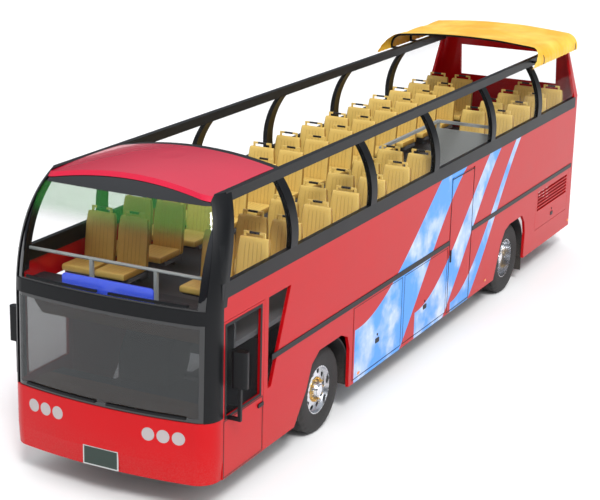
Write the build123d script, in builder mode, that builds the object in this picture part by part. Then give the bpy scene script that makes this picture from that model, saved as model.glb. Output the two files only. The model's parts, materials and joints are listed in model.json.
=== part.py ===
from build123d import *
import os
from math import sin, cos, radians

os.makedirs("parts", exist_ok=True)

# Overall sizes of the bus, X forward, Y to its left, Z up, origin on the ground under its middle
body_length = 12000.0
body_width = 2500.0
half_length = body_length / 2
half_width = body_width / 2
skirt_z = 380.0
belt_z = 1370.0
belt_height = 65.0
belt_proud = 8.0
sill_z = 2350.0
sill_height = 170.0
rail_z = 3250.0
rail_height = 110.0
rail_half_width = 1060.0
rail_width = 70.0
wall = 40.0
seam = 6.0
hinge_gap = 0.3
overrun = 200.0
sill_top_z = sill_z + sill_height
rail_top_z = rail_z + rail_height
rail_inner_y = rail_half_width - rail_width
wall_inner_y = half_width - wall

# Nose: depth of the bulge from the corners to the tip, and the corner's plan radius
nose_depth = 360.0
corner_radius = 240.0
corner_turn_degrees = 76.0
bumper_z = 600.0
mask_top_z = 1065.0
screen_top_z = 2115.0
band_top_z = 2260.0
waist_z = 2900.0
crown_cut_z = 3480.0
glass_thickness = 8.0
glass_inset = 14.0
screen_pillar_width = 95.0
screen_pillar_back = 70.0
corner_x = half_length - nose_depth

# Columns: height, set back of the corner and depth as shares of the nose, half width as a share
front_level_shares = {
    "skirt": (skirt_z, 0.0, 0.90, 0.988),
    "bumper": (bumper_z, 0.0, 1.0, 1.0),
    "mask": (mask_top_z, 0.0, 0.93, 1.0),
    "screen": (screen_top_z, 0.05, 0.86, 1.0),
    "band": (band_top_z, 0.08, 0.85, 1.0),
    "sill": (sill_top_z, 0.22, 0.84, 1.0),
    "waist": (waist_z, 0.56, 0.79, 0.976),
    "crown": (crown_cut_z, 1.444, 0.64, 0.765),
}

# Front roof panel over the first rows
roof_back_x = 4090.0
roof_thickness = 45.0
roof_edge_z = rail_top_z
roof_crown = 110.0
roof_arch_depth = 95.0
# Columns: place from the roof's back edge to the nose, drop of the edge and crown height as shares
roof_section_shares = [(0.0, 0.0, 1.0), (0.42, 0.0, 1.06), (0.80, 0.30, 0.86)]

# Side pillars of the open top deck
pillar_width = 165.0
pillar_thickness = 60.0
pillar_bulge = 38.0
pane_inset = 20.0
pillar_place_shares = [0.3400, 0.1685, 0.0060, -0.1654, -0.3280]
rear_frame_x = -5640.0

# Floors and frame
floor_thickness = 60.0
upper_floor_z = 1790.0
upper_floor_front_x = 5260.0
shelf_top_z = 2160.0
lower_floor_z = 445.0
lower_floor_half_width = 1200.0
lower_floor_front_x = 5480.0
bulkhead_x = -2290.0
bulkhead_thickness = 40.0
frame_rail_y = 420.0
frame_rail_width = 90.0
frame_rail_z = 640.0
frame_rail_height = 160.0
frame_end_x = -5740.0
cross_member_length = 120.0
tow_eye_radius = 20.0
tow_eye_length = 60.0
tow_eye_width = 110.0
jack_pad_size = 160.0
jack_pad_drop = 40.0
jack_pad_y = 1000.0

# Wheels
tyre_radius = 522.0
tyre_width = 295.0
rim_radius = 290.0
rim_wall = 12.0
twin_gap = 30.0
front_axle_x = 3150.0
rear_axle_x = -3000.0
front_outer_y = 1165.0
rear_outer_y = 1190.0
tyre_shoulder = 55.0
hub_radius = 105.0
disc_thickness = 22.0
hand_hole_radius = 32.0
hand_hole_count = 10
hand_hole_ring_share = 0.76
running_clearance = 0.3

# Arches, as shares of the tyre's radius from the axle and of the arch's height
arch_top_z = 1110.0
front_arch_shares = [
    (1.85, 0.2),
    (1.05, 0.66),
    (0.80, 0.90),
    (0.44, 1.0),
    (-0.67, 1.0),
    (-1.0, 0.93),
    (-1.11, 0.79),
    (-1.11, 0.2),
]
rear_arch_shares = [
    (1.45, 0.2),
    (0.85, 0.78),
    (0.55, 0.93),
    (0.16, 0.98),
    (-0.85, 0.98),
    (-1.08, 0.87),
    (-1.18, 0.72),
    (-1.15, 0.2),
]
liner_radius = 650.0
liner_thickness = 18.0
liner_inner_y = 545.0
liner_slot_half_length = 260.0
liner_slot_z = 800.0
flap_thickness = 12.0
flap_height = 420.0

# Doors and flaps, by their seams
driver_door_front_x = 5600.0
driver_door_back_x = 4733.0
door_top_z = 2105.0
driver_window_z = 1055.0
driver_window_front_x = 5560.0
driver_window_back_x = 4800.0
window_frame = 40.0
quarter_front_x = 4640.0
quarter_top_back_x = 4128.0
quarter_low_back_x = 4560.0
quarter_z = 1070.0
mid_door_front_x = -500.0
mid_door_back_x = -1330.0
mid_door_top_z = 2290.0
mid_door_corner = 70.0
flap_bottom_z = 420.0
flap_top_z = 1352.0
flap_a_front_x = 2490.0
flap_a_back_x = 1030.0
flap_b_back_x = -470.0
engine_flap_front_x = -4054.0
engine_flap_back_x = -5600.0
engine_flap_bottom_z = 690.0
grille_bar = 16.0
grille_pitch = 52.0
grille_frame = 70.0
door_thickness = 38.0

# Rear
rear_corner_radius = 240.0
rear_wall_front_x = -5700.0
hatch_half_width = 900.0
hatch_bottom_z = 640.0
hatch_top_z = 1740.0
rear_window_half_width = 820.0
rear_window_bottom_z = 2640.0
rear_window_top_z = 3140.0
rear_top_z = 3470.0
rear_top_half_width = 1030.0
rear_top_set_in = 110.0

# Canopy over the last rows
canopy_front_x = -3935.0
canopy_tip_x = -3480.0
canopy_back_x = -5560.0
canopy_half_width = 1262.0
canopy_low_z = 3300.0
canopy_shoulder_y = 1110.0
canopy_shoulder_z = 3555.0
canopy_crown_z = 3618.0
canopy_thickness = 16.0
hoop_size = 30.0
hoop_place_shares = [0.04, 0.5, 0.96]

# Seats
seat_width = 405.0
seat_pair_pitch = 430.0
seat_centre_y = 755.0
seat_row_pitch = 751.0
first_row_x = 4498.0
right_row_count = 14
left_rows = [0, 1, 2, 3, 4, 5, 6, 10, 11, 12, 13]
cushion_length = 430.0
cushion_thickness = 80.0
cushion_top_z = 2180.0
back_height = 500.0
back_thickness = 62.0
back_lean = 120.0
seat_leg_width = 60.0
handle_width = 260.0
handle_rise = 58.0
handle_tube = 22.0

# Stairwell behind the left rows
stair_front_x = -150.0
stair_back_x = -2100.0
stair_inner_y = 380.0
stair_width = 700.0
stair_count = 6
guard_height = 900.0
guard_thickness = 30.0
guard_tube = 40.0

# Driver's place
platform_height = 60.0
platform_back_x = 4150.0
platform_inner_y = 300.0
dash_back_x = 5180.0
dash_low_z = 880.0
dash_top_z = 1090.0
driver_seat_x = 4520.0
driver_seat_y = 720.0
driver_seat_width = 480.0
driver_cushion_z = 850.0
driver_back_height = 620.0
wheel_ring_radius = 225.0
wheel_ring_tube = 26.0
wheel_ring_x = 5080.0
wheel_ring_z = 1190.0
wheel_ring_tilt = 28.0
column_radius = 26.0
shelf_back_thickness = 40.0
fascia_half_width = 1040.0
fascia_low_z = 1790.0
fascia_top_x = 5770.0
fascia_low_x = 5520.0
fascia_thickness = 40.0
sign_width = 1110.0
sign_height = 250.0
sign_thickness = 20.0
sign_x = 5815.0
bar_size = 38.0
bar_x = 5520.0
bar_z = 2500.0

# Lamps, plate, mirrors and wipers
lamp_radius = 72.0
lamp_z = 880.0
lamp_place_shares = [0.45, 0.585, 0.72]
lamp_proud = 6.0
lamp_gap = 0.5
plate_width = 440.0
plate_height = 220.0
plate_thickness = 8.0
plate_z = 505.0
plate_set_in = 10.0
tail_lamp_width = 84.0
tail_lamp_height = 520.0
tail_lamp_y = 958.0
tail_lamp_z = 1000.0
tail_lamp_thickness = 14.0
wiper_gap = 0.3
upper_wiper_z = 2290.0
lower_wiper_z = 1100.0
wiper_reach_shares = [(-0.80, -0.06), (0.05, 0.78)]
mirror_x = 5500.0
mirror_low_z = 1400.0
mirror_height = 400.0
mirror_inner_y = 1300.0
mirror_width = 180.0
mirror_depth = 90.0
mirror_arm = 36.0
mirror_arm_z = 1290.0
wiper_height = 26.0
wiper_depth = 22.0

# Axles and steering
kingpin_y = 845.0
knuckle_height = 300.0
knuckle_size = 110.0
spindle_radius = 45.0
axle_beam = 100.0
axle_arm_gap = 5.0
diff_radius = 210.0
rear_tube_radius = 75.0

# Engine, one plain block
engine_front_x = -4150.0
engine_back_x = -5500.0
engine_half_width = 360.0
engine_height = 890.0


def slab(x0, x1, y0, y1, z0, z1, mode=Mode.ADD):
    """A block between two corners."""
    with Locations(((x0 + x1) / 2, (y0 + y1) / 2, (z0 + z1) / 2)):
        Box(abs(x1 - x0), abs(y1 - y0), abs(z1 - z0), mode=mode)


def side_plane(y):
    """An upright plane along the bus whose extrusions go towards the bus's right."""
    return Plane.XZ.offset(-y)


def front_outline(level, inset, back_x):
    """One level of the nose in plan: straight sides, rounded corners and a bulging front."""
    height, setback_share, depth_share, width_share = front_level_shares[level]
    start_x = corner_x - nose_depth * setback_share
    side_y = half_width * width_share - inset
    radius = corner_radius - inset
    turn = radians(corner_turn_degrees)
    end_x = start_x + radius * sin(turn)
    end_y = side_y - radius * (1 - cos(turn))
    mid_x = start_x + radius * sin(turn / 2)
    mid_y = side_y - radius * (1 - cos(turn / 2))
    tip_x = start_x + nose_depth * depth_share - inset
    with BuildSketch(Plane.XY.offset(height)) as outline:
        with BuildLine():
            Line((back_x, -side_y), (start_x, -side_y))
            ThreePointArc((start_x, -side_y), (mid_x, -mid_y), (end_x, -end_y))
            ThreePointArc((end_x, -end_y), (tip_x, 0), (end_x, end_y))
            ThreePointArc((end_x, end_y), (mid_x, mid_y), (start_x, side_y))
            Line((start_x, side_y), (back_x, side_y))
            Line((back_x, side_y), (back_x, -side_y))
        make_face()
    return outline.sketch


def level_start_x(level):
    """Where the rounded corner starts at one level of the nose."""
    return corner_x - nose_depth * front_level_shares[level][1]


def nose(levels, inset, mode=Mode.ADD, back_x=None, extra_back=0):
    """A solid through several levels of the nose, its back edge plane or following the corners."""
    outlines = []
    for level in levels:
        edge_x = level_start_x(level) - screen_pillar_back if back_x is None else back_x
        outlines.append(front_outline(level, inset, edge_x - extra_back))
    loft(outlines, ruled=back_x is not None, mode=mode)


def nose_shell(levels, outer, inner, back_x=None):
    """The nose's skin between two insets, open at the back."""
    nose(levels, outer, back_x=back_x)
    nose(levels, inner, mode=Mode.SUBTRACT, back_x=back_x, extra_back=overrun)


def pillar_profile(x, inset, thickness):
    """The curved section of the top deck's side, between sill and rail."""
    mid_z = (sill_top_z + rail_z) / 2
    mid_y = (half_width + rail_half_width) / 2 + pillar_bulge * 2
    with BuildSketch(Plane.YZ.offset(x)) as section:
        with BuildLine():
            ThreePointArc((half_width - inset, sill_top_z), (mid_y - inset, mid_z), (rail_half_width - inset, rail_z))
            Line((rail_half_width - inset, rail_z), (rail_half_width - inset - thickness, rail_z))
            ThreePointArc(
                (rail_half_width - inset - thickness, rail_z),
                (mid_y - inset - thickness, mid_z),
                (half_width - inset - thickness, sill_top_z),
            )
            Line((half_width - inset - thickness, sill_top_z), (half_width - inset, sill_top_z))
        make_face()
    return section.sketch


def arch_cut(axle_x, arch_shares):
    """Cuts a wheel arch through the side wall that is being built on the left."""
    points = [(axle_x + along * tyre_radius, up * arch_top_z) for along, up in arch_shares]
    with BuildSketch(side_plane(half_width + overrun)) as opening:
        with BuildLine():
            Polyline(*points, close=True)
        make_face()
    extrude(opening.sketch, amount=overrun * 2 + wall, mode=Mode.SUBTRACT)


def roof_points(share, drop_share, crown_share, lower):
    """Half width, edge height and crown height of the roof at one place along it."""
    x = roof_back_x + (half_length - roof_back_x) * share
    edge_z = roof_edge_z - roof_crown * drop_share - lower
    crown_z = roof_edge_z + roof_crown * (crown_share - drop_share) - lower
    return x, edge_z, crown_z


def roof_loft(lower, top_z, mode=Mode.ADD):
    """The roof's crowned surface, closed by a flat underside or by a flat top."""
    sections = []
    for share, drop_share, crown_share in roof_section_shares:
        x, edge_z, crown_z = roof_points(share, drop_share, crown_share, lower)
        flat_z = top_z
        with BuildSketch(Plane.YZ.offset(x)) as section:
            with BuildLine():
                ThreePointArc((-rail_inner_y, edge_z), (0, crown_z), (rail_inner_y, edge_z))
                Line((rail_inner_y, edge_z), (rail_inner_y, flat_z))
                Line((rail_inner_y, flat_z), (-rail_inner_y, flat_z))
                Line((-rail_inner_y, flat_z), (-rail_inner_y, edge_z))
            make_face()
        sections.append(section.sketch)
    loft(sections, mode=mode)


pillar_xs = [share * body_length for share in pillar_place_shares]
upper_levels = ["band", "sill", "waist", "crown"]

# Nose panels
nose_back_x = driver_door_front_x + hinge_gap
lower_glass_y = half_width - screen_pillar_width
lamp_ys = [share * half_width * side for share in lamp_place_shares for side in (1, -1)]
plate_low_z = plate_z - plate_height / 2


def lamp_pins(radius, mode):
    """Lengthwise pins at every headlamp's place."""
    for lamp_y in lamp_ys:
        with Locations(Location((corner_x + nose_depth / 2, lamp_y, lamp_z), (0, 90, 0))):
            Cylinder(radius, nose_depth * 2, mode=mode)


with BuildPart() as front_mask:
    nose_shell(["skirt", "bumper", "mask"], 0, wall, nose_back_x)
    lamp_pins(lamp_radius, Mode.SUBTRACT)
    slab(
        half_length - plate_set_in - plate_thickness,
        half_length,
        -plate_width / 2,
        plate_width / 2,
        plate_low_z,
        plate_low_z + plate_height,
        mode=Mode.SUBTRACT,
    )
front_mask.part.label = "front_mask"
export_step(front_mask.part, "parts/front_mask.step")

with BuildPart() as lower_windscreen:
    nose_shell(["mask", "screen"], glass_inset, glass_inset + glass_thickness, nose_back_x)
    slab(0, body_length, lower_glass_y, body_width, 0, body_length, mode=Mode.SUBTRACT)
    slab(0, body_length, -body_width, -lower_glass_y, 0, body_length, mode=Mode.SUBTRACT)
lower_windscreen.part.label = "lower_windscreen"
export_step(lower_windscreen.part, "parts/lower_windscreen.step")

with BuildPart() as screen_band:
    nose_shell(["screen", "band"], 0, wall, nose_back_x)
screen_band.part.label = "screen_band"
export_step(screen_band.part, "parts/screen_band.step")


def glass_region(levels, mode):
    """The part of the nose between its two corner posts, narrowing with height."""
    regions = []
    for level in levels:
        height, setback_share, depth_share, width_share = front_level_shares[level]
        with BuildSketch(Plane.XY.offset(height)) as region:
            Rectangle(body_length * 2, (half_width * width_share - screen_pillar_width) * 2)
        regions.append(region.sketch)
    loft(regions, mode=mode)


with BuildPart() as upper_windscreen:
    nose_shell(upper_levels, glass_inset, glass_inset + glass_thickness)
    roof_loft(roof_thickness, crown_cut_z + overrun, mode=Mode.SUBTRACT)
    glass_region(upper_levels, Mode.INTERSECT)
upper_windscreen.part.label = "upper_windscreen"
export_step(upper_windscreen.part, "parts/upper_windscreen.step")

with BuildPart() as lower_posts:
    nose_shell(["mask", "screen"], 0, wall, nose_back_x)
    slab(0, body_length, -lower_glass_y, lower_glass_y, 0, body_length, mode=Mode.SUBTRACT)
with BuildPart() as screen_posts:
    nose_shell(upper_levels, 0, pillar_thickness)
    slab(0, body_length, -body_width, body_width, rail_top_z, body_length, mode=Mode.SUBTRACT)
    roof_loft(roof_thickness, crown_cut_z + overrun, mode=Mode.SUBTRACT)
    glass_region(upper_levels, Mode.SUBTRACT)
    add(lower_posts.part)
screen_posts.part.label = "screen_posts"
export_step(screen_posts.part, "parts/screen_posts.step")

# Front roof panel between the rails
with BuildPart() as front_roof:
    roof_loft(0, rail_z)
    roof_loft(roof_thickness, rail_z - overrun, mode=Mode.SUBTRACT)
    nose(upper_levels, 0, mode=Mode.INTERSECT, extra_back=body_width)
front_roof.part.label = "front_roof"
export_step(front_roof.part, "parts/front_roof.step")

# Rails along the open deck, joined by the black arch behind the front roof
waist_start_x = level_start_x("waist")
rail_share = (rail_z - waist_z) / (crown_cut_z - waist_z)
rail_front_x = waist_start_x + (level_start_x("crown") - waist_start_x) * rail_share
with BuildPart() as rails:
    slab(rear_frame_x, rail_front_x, rail_inner_y, rail_half_width, rail_z, rail_top_z)
    mirror(about=Plane.XZ)
    nose(upper_levels, 0, mode=Mode.SUBTRACT)
    arch_z = roof_edge_z - roof_thickness
    with BuildSketch(Plane.YZ.offset(roof_back_x - roof_arch_depth)):
        with BuildLine():
            ThreePointArc((-rail_inner_y, roof_edge_z), (0, roof_edge_z + roof_crown), (rail_inner_y, roof_edge_z))
            Line((rail_inner_y, roof_edge_z), (rail_inner_y, arch_z))
            ThreePointArc((rail_inner_y, arch_z), (0, arch_z + roof_crown), (-rail_inner_y, arch_z))
            Line((-rail_inner_y, arch_z), (-rail_inner_y, roof_edge_z))
        make_face()
    extrude(amount=roof_arch_depth)
rails.part.label = "rails"
export_step(rails.part, "parts/rails.step")

# Curved posts between sill and rail
with BuildPart() as side_posts:
    for pillar_x in pillar_xs:
        extrude(pillar_profile(pillar_x - pillar_width / 2, 0, pillar_thickness), amount=pillar_width)
    mirror(about=Plane.XZ)
side_posts.part.label = "side_posts"
export_step(side_posts.part, "parts/side_posts.step")

# Black sill bands and the thin belt strips
belt_left_runs = [
    (quarter_low_back_x, mid_door_front_x + seam),
    (mid_door_back_x - seam, rear_wall_front_x),
]
belt_right_runs = [(driver_door_back_x - seam, rear_wall_front_x)]
with BuildPart() as side_strips:
    slab(rear_wall_front_x, corner_x, half_width - pillar_thickness, half_width, sill_z, sill_top_z)
    mirror(about=Plane.XZ)
    nose(["band", "sill", "waist", "crown"], 0, mode=Mode.SUBTRACT)
    for front_x, back_x in belt_left_runs:
        slab(back_x, front_x, half_width, half_width + belt_proud, belt_z, belt_z + belt_height)
    for front_x, back_x in belt_right_runs:
        slab(back_x, front_x, -half_width, -half_width - belt_proud, belt_z, belt_z + belt_height)
side_strips.part.label = "side_strips"
export_step(side_strips.part, "parts/side_strips.step")


def side_cut(x0, x1, z0, z1, side):
    """Cuts a rectangular opening through one side wall."""
    slab(x0, x1, side * (wall_inner_y - overrun), side * (half_width + overrun), z0, z1, mode=Mode.SUBTRACT)


def quarter_outline(plane):
    """The slanted quarter window behind the driver's door."""
    with BuildSketch(plane) as window:
        with BuildLine():
            Polyline(
                (quarter_front_x, quarter_z),
                (quarter_low_back_x, quarter_z),
                (quarter_top_back_x, door_top_z),
                (quarter_front_x, door_top_z),
                close=True,
            )
        make_face()
    return window.sketch


# Left side wall with its door, flap and arch openings
with BuildPart() as side_left:
    slab(rear_wall_front_x, nose_back_x, wall_inner_y, half_width, skirt_z, sill_z)
    nose(["band", "sill", "waist", "crown"], 0, mode=Mode.SUBTRACT)
    side_cut(driver_door_back_x - seam, half_length, 0, door_top_z + seam, 1)
    extrude(quarter_outline(side_plane(half_width + overrun)), amount=overrun * 2, mode=Mode.SUBTRACT)
    arch_cut(front_axle_x, front_arch_shares)
    arch_cut(rear_axle_x, rear_arch_shares)
    side_cut(mid_door_back_x - hinge_gap, mid_door_front_x + seam, 0, mid_door_top_z + seam, 1)
    side_cut(flap_a_back_x, flap_a_front_x, flap_bottom_z, flap_top_z, 1)
    side_cut(flap_b_back_x, flap_a_back_x - wall, flap_bottom_z, flap_top_z, 1)
    side_cut(engine_flap_back_x, engine_flap_front_x, engine_flap_bottom_z, flap_top_z, 1)
side_left.part.label = "side_left"
export_step(side_left.part, "parts/side_left.step")

# Right side wall with the front passenger door's opening
with BuildPart() as right_wall_blank:
    slab(rear_wall_front_x, nose_back_x, wall_inner_y, half_width, skirt_z, sill_z)
    nose(["band", "sill", "waist", "crown"], 0, mode=Mode.SUBTRACT)
    side_cut(driver_door_back_x - seam, half_length, 0, door_top_z + seam, 1)
    arch_cut(front_axle_x, front_arch_shares)
    arch_cut(rear_axle_x, rear_arch_shares)
with BuildPart() as side_right:
    mirror(right_wall_blank.part, about=Plane.XZ)
side_right.part.label = "side_right"
export_step(side_right.part, "parts/side_right.step")

# Front passenger door on the right, hung in its opening
with BuildPart() as passenger_door:
    slab(
        driver_door_back_x,
        driver_door_front_x,
        -half_width,
        door_thickness - half_width,
        skirt_z,
        door_top_z + seam,
    )
    side_cut(
        driver_window_back_x,
        driver_window_front_x,
        driver_window_z,
        door_top_z - window_frame,
        -1,
    )
passenger_door.part.label = "passenger_door"
export_step(passenger_door.part, "parts/passenger_door.step")

# Glass of the sides and the rear
pane_edges = [corner_x] + [x + side * pillar_width / 2 for x in pillar_xs for side in (1, -1)] + [rear_frame_x]
pane_runs = [(pane_edges[index + 1], pane_edges[index]) for index in range(0, len(pane_edges), 2)]
low_glass_y = half_width - glass_inset
with BuildPart() as side_glass:
    for back_x, front_x in pane_runs:
        extrude(pillar_profile(back_x, pane_inset, glass_thickness), amount=front_x - back_x)
    mirror(about=Plane.XZ)
    nose(upper_levels, 0, mode=Mode.SUBTRACT)
    extrude(quarter_outline(side_plane(low_glass_y)), amount=glass_thickness)
    slab(
        driver_window_back_x,
        driver_window_front_x,
        -low_glass_y,
        glass_thickness - low_glass_y,
        driver_window_z,
        door_top_z - window_frame,
    )
side_glass.part.label = "side_glass"
export_step(side_glass.part, "parts/side_glass.step")

# Driver's door, its window and its mirror
with BuildPart() as driver_door:
    slab(driver_door_back_x, driver_door_front_x, half_width - door_thickness, half_width, skirt_z, door_top_z)
    side_cut(driver_window_back_x, driver_window_front_x, driver_window_z, door_top_z - window_frame, 1)
driver_door.part.label = "driver_door"
export_step(driver_door.part, "parts/driver_door.step")

with BuildPart() as driver_door_glass:
    slab(
        driver_window_back_x,
        driver_window_front_x,
        low_glass_y - glass_thickness,
        low_glass_y,
        driver_window_z,
        door_top_z - window_frame,
    )
driver_door_glass.part.label = "driver_door_glass"
export_step(driver_door_glass.part, "parts/driver_door_glass.step")


def mirror_head():
    """A mirror head on an arm that leaves the left side below the window."""
    arm_low_z = mirror_arm_z - mirror_arm / 2 - window_frame * 6
    mid_y = mirror_inner_y + mirror_width / 2
    slab(
        mirror_x - mirror_arm / 2,
        mirror_x + mirror_arm / 2,
        half_width,
        mid_y + mirror_arm / 2,
        arm_low_z,
        arm_low_z + mirror_arm,
    )
    slab(
        mirror_x - mirror_arm / 2,
        mirror_x + mirror_arm / 2,
        mid_y - mirror_arm / 2,
        mid_y + mirror_arm / 2,
        arm_low_z,
        mirror_low_z,
    )
    with BuildSketch(Plane.XY.offset(mirror_low_z)) as head:
        with Locations((mirror_x, mid_y)):
            RectangleRounded(mirror_depth, mirror_width, mirror_depth * 0.4)
    extrude(head.sketch, amount=mirror_height)


with BuildPart() as mirror_left:
    mirror_head()
mirror_left.part.label = "mirror_left"
export_step(mirror_left.part, "parts/mirror_left.step")

with BuildPart() as mirror_right:
    mirror(mirror_left.part, about=Plane.XZ)
mirror_right.part.label = "mirror_right"
export_step(mirror_right.part, "parts/mirror_right.step")

# Mid door with rounded upper corners
with BuildPart() as mid_door:
    with BuildSketch(side_plane(half_width)):
        with BuildLine():
            Polyline(
                (mid_door_back_x, skirt_z),
                (mid_door_front_x, skirt_z),
                (mid_door_front_x, mid_door_top_z - mid_door_corner),
                (mid_door_front_x - mid_door_corner, mid_door_top_z),
                (mid_door_back_x + mid_door_corner, mid_door_top_z),
                (mid_door_back_x, mid_door_top_z - mid_door_corner),
                close=True,
            )
        make_face()
    extrude(amount=door_thickness)
mid_door.part.label = "mid_door"
export_step(mid_door.part, "parts/mid_door.step")

# Luggage flaps, hung at their upper edges
flap_runs = [
    ("luggage_flap_a", flap_a_back_x, flap_a_front_x),
    ("luggage_flap_b", flap_b_back_x, flap_a_back_x - wall),
]
for flap_name, back_x, front_x in flap_runs:
    with BuildPart() as luggage_flap:
        slab(
            back_x + seam,
            front_x - seam,
            half_width - door_thickness,
            half_width,
            flap_bottom_z + seam,
            flap_top_z - hinge_gap,
        )
    luggage_flap.part.label = flap_name
    export_step(luggage_flap.part, f"parts/{flap_name}.step")

# Engine flap on the left with its air slots
slot_length = engine_flap_front_x - engine_flap_back_x - grille_frame * 2
slot_span = flap_top_z - engine_flap_bottom_z - grille_frame * 2
slot_count = int(slot_span * 0.6 / grille_pitch)
slot_top_z = flap_top_z - grille_frame
with BuildPart() as engine_flap:
    slab(
        engine_flap_back_x + seam,
        engine_flap_front_x - seam,
        half_width - door_thickness,
        half_width,
        engine_flap_bottom_z + seam,
        flap_top_z - hinge_gap,
    )
    for index in range(slot_count):
        top_z = slot_top_z - index * grille_pitch
        side_cut(
            engine_flap_back_x + grille_frame,
            engine_flap_front_x - grille_frame,
            top_z - grille_pitch + grille_bar,
            top_z,
            1,
        )
engine_flap.part.label = "engine_flap"
export_step(engine_flap.part, "parts/engine_flap.step")


def rear_outline(height, inset, side_y, end_x, front_x):
    """The rear end in plan, with rounded corners."""
    y = side_y - inset
    x = end_x + inset
    radius = rear_corner_radius - inset
    lean = radius * (1 - cos(radians(45)))
    with BuildSketch(Plane.XY.offset(height)) as outline:
        with BuildLine():
            Line((front_x, y), (x + radius, y))
            ThreePointArc((x + radius, y), (x + lean, y - lean), (x, y - radius))
            Line((x, y - radius), (x, radius - y))
            ThreePointArc((x, radius - y), (x + lean, lean - y), (x + radius, -y))
            Line((x + radius, -y), (front_x, -y))
            Line((front_x, -y), (front_x, y))
        make_face()
    return outline.sketch


# Rear end up to the sill line
rear_height = sill_top_z - skirt_z
with BuildPart() as rear_wall:
    extrude(rear_outline(skirt_z, 0, half_width, -half_length, rear_wall_front_x), amount=rear_height)
    extrude(
        rear_outline(skirt_z, wall, half_width, -half_length, rear_wall_front_x + overrun),
        amount=rear_height,
        mode=Mode.SUBTRACT,
    )
    slab(
        -half_length - overrun,
        rear_wall_front_x,
        -hatch_half_width,
        hatch_half_width,
        hatch_bottom_z,
        hatch_top_z,
        mode=Mode.SUBTRACT,
    )
    slab(
        -half_length - overrun,
        plate_thickness - half_length,
        -plate_width / 2,
        plate_width / 2,
        plate_low_z,
        plate_low_z + plate_height,
        mode=Mode.SUBTRACT,
    )
    for side in (1, -1):
        slab(
            -half_length - overrun,
            tail_lamp_thickness - half_length,
            side * tail_lamp_y - tail_lamp_width / 2,
            side * tail_lamp_y + tail_lamp_width / 2,
            tail_lamp_z - tail_lamp_height / 2,
            tail_lamp_z + tail_lamp_height / 2,
            mode=Mode.SUBTRACT,
        )
rear_wall.part.label = "rear_wall"
export_step(rear_wall.part, "parts/rear_wall.step")

# Rear end of the top deck, closed above
def rear_top_loft(inset, top_z, front_x, mode=Mode.ADD):
    """The tapering rear end of the top deck up to one height."""
    share = (top_z - sill_top_z) / (rear_top_z - sill_top_z)
    top_y = half_width + (rear_top_half_width - half_width) * share
    top_x = -half_length + rear_top_set_in * share
    low = rear_outline(sill_top_z, inset, half_width, -half_length, front_x)
    high = rear_outline(top_z, inset, top_y, top_x, front_x)
    loft([low, high], ruled=True, mode=mode)


with BuildPart() as rear_top:
    rear_top_loft(0, rear_top_z, rear_frame_x)
    rear_top_loft(wall, rear_top_z - wall, rear_frame_x + overrun, mode=Mode.SUBTRACT)
    slab(
        -half_length - overrun,
        rear_frame_x - wall * 3,
        -rear_window_half_width,
        rear_window_half_width,
        rear_window_bottom_z,
        rear_window_top_z,
        mode=Mode.SUBTRACT,
    )
rear_top.part.label = "rear_top"
export_step(rear_top.part, "parts/rear_top.step")

with BuildPart() as rear_window:
    rear_top_loft(glass_inset, rear_top_z - wall, rear_frame_x)
    rear_top_loft(
        glass_inset + glass_thickness,
        rear_top_z - wall,
        rear_frame_x + overrun,
        mode=Mode.SUBTRACT,
    )
    slab(
        -half_length,
        rear_frame_x - wall * 3,
        -rear_window_half_width,
        rear_window_half_width,
        rear_window_bottom_z,
        rear_window_top_z,
        mode=Mode.INTERSECT,
    )
rear_window.part.label = "rear_window"
export_step(rear_window.part, "parts/rear_window.step")

# Rear engine hatch with louvres
with BuildPart() as engine_hatch:
    slab(
        -half_length,
        door_thickness - half_length,
        seam - hatch_half_width,
        hatch_half_width - seam,
        hatch_bottom_z + seam,
        hatch_top_z - hinge_gap,
    )
    for index in range(slot_count):
        top_z = hatch_bottom_z + grille_frame + (index + 1) * grille_pitch
        slab(
            -half_length - overrun,
            -half_length + overrun,
            grille_frame - hatch_half_width,
            hatch_half_width - grille_frame,
            top_z - grille_pitch + grille_bar,
            top_z,
            mode=Mode.SUBTRACT,
        )
engine_hatch.part.label = "engine_hatch"
export_step(engine_hatch.part, "parts/engine_hatch.step")


def canopy_outline(x, inset):
    """The canopy's section, open below, at one distance inside its outer face."""
    shoulder_mid_y = (canopy_half_width + canopy_shoulder_y) / 2 + (canopy_half_width - canopy_shoulder_y) * 0.29
    shoulder_mid_z = (canopy_low_z + canopy_shoulder_z) / 2 + (canopy_shoulder_z - canopy_low_z) * 0.16
    with BuildSketch(Plane.YZ.offset(x)) as section:
        with BuildLine():
            ThreePointArc(
                (canopy_half_width - inset, canopy_low_z),
                (shoulder_mid_y - inset, shoulder_mid_z - inset * 0.3),
                (canopy_shoulder_y - inset, canopy_shoulder_z - inset),
            )
            ThreePointArc(
                (canopy_shoulder_y - inset, canopy_shoulder_z - inset),
                (0, canopy_crown_z - inset),
                (inset - canopy_shoulder_y, canopy_shoulder_z - inset),
            )
            ThreePointArc(
                (inset - canopy_shoulder_y, canopy_shoulder_z - inset),
                (inset - shoulder_mid_y, shoulder_mid_z - inset * 0.3),
                (inset - canopy_half_width, canopy_low_z),
            )
            Line((inset - canopy_half_width, canopy_low_z), (canopy_half_width - inset, canopy_low_z))
        make_face()
    return section.sketch


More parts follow.
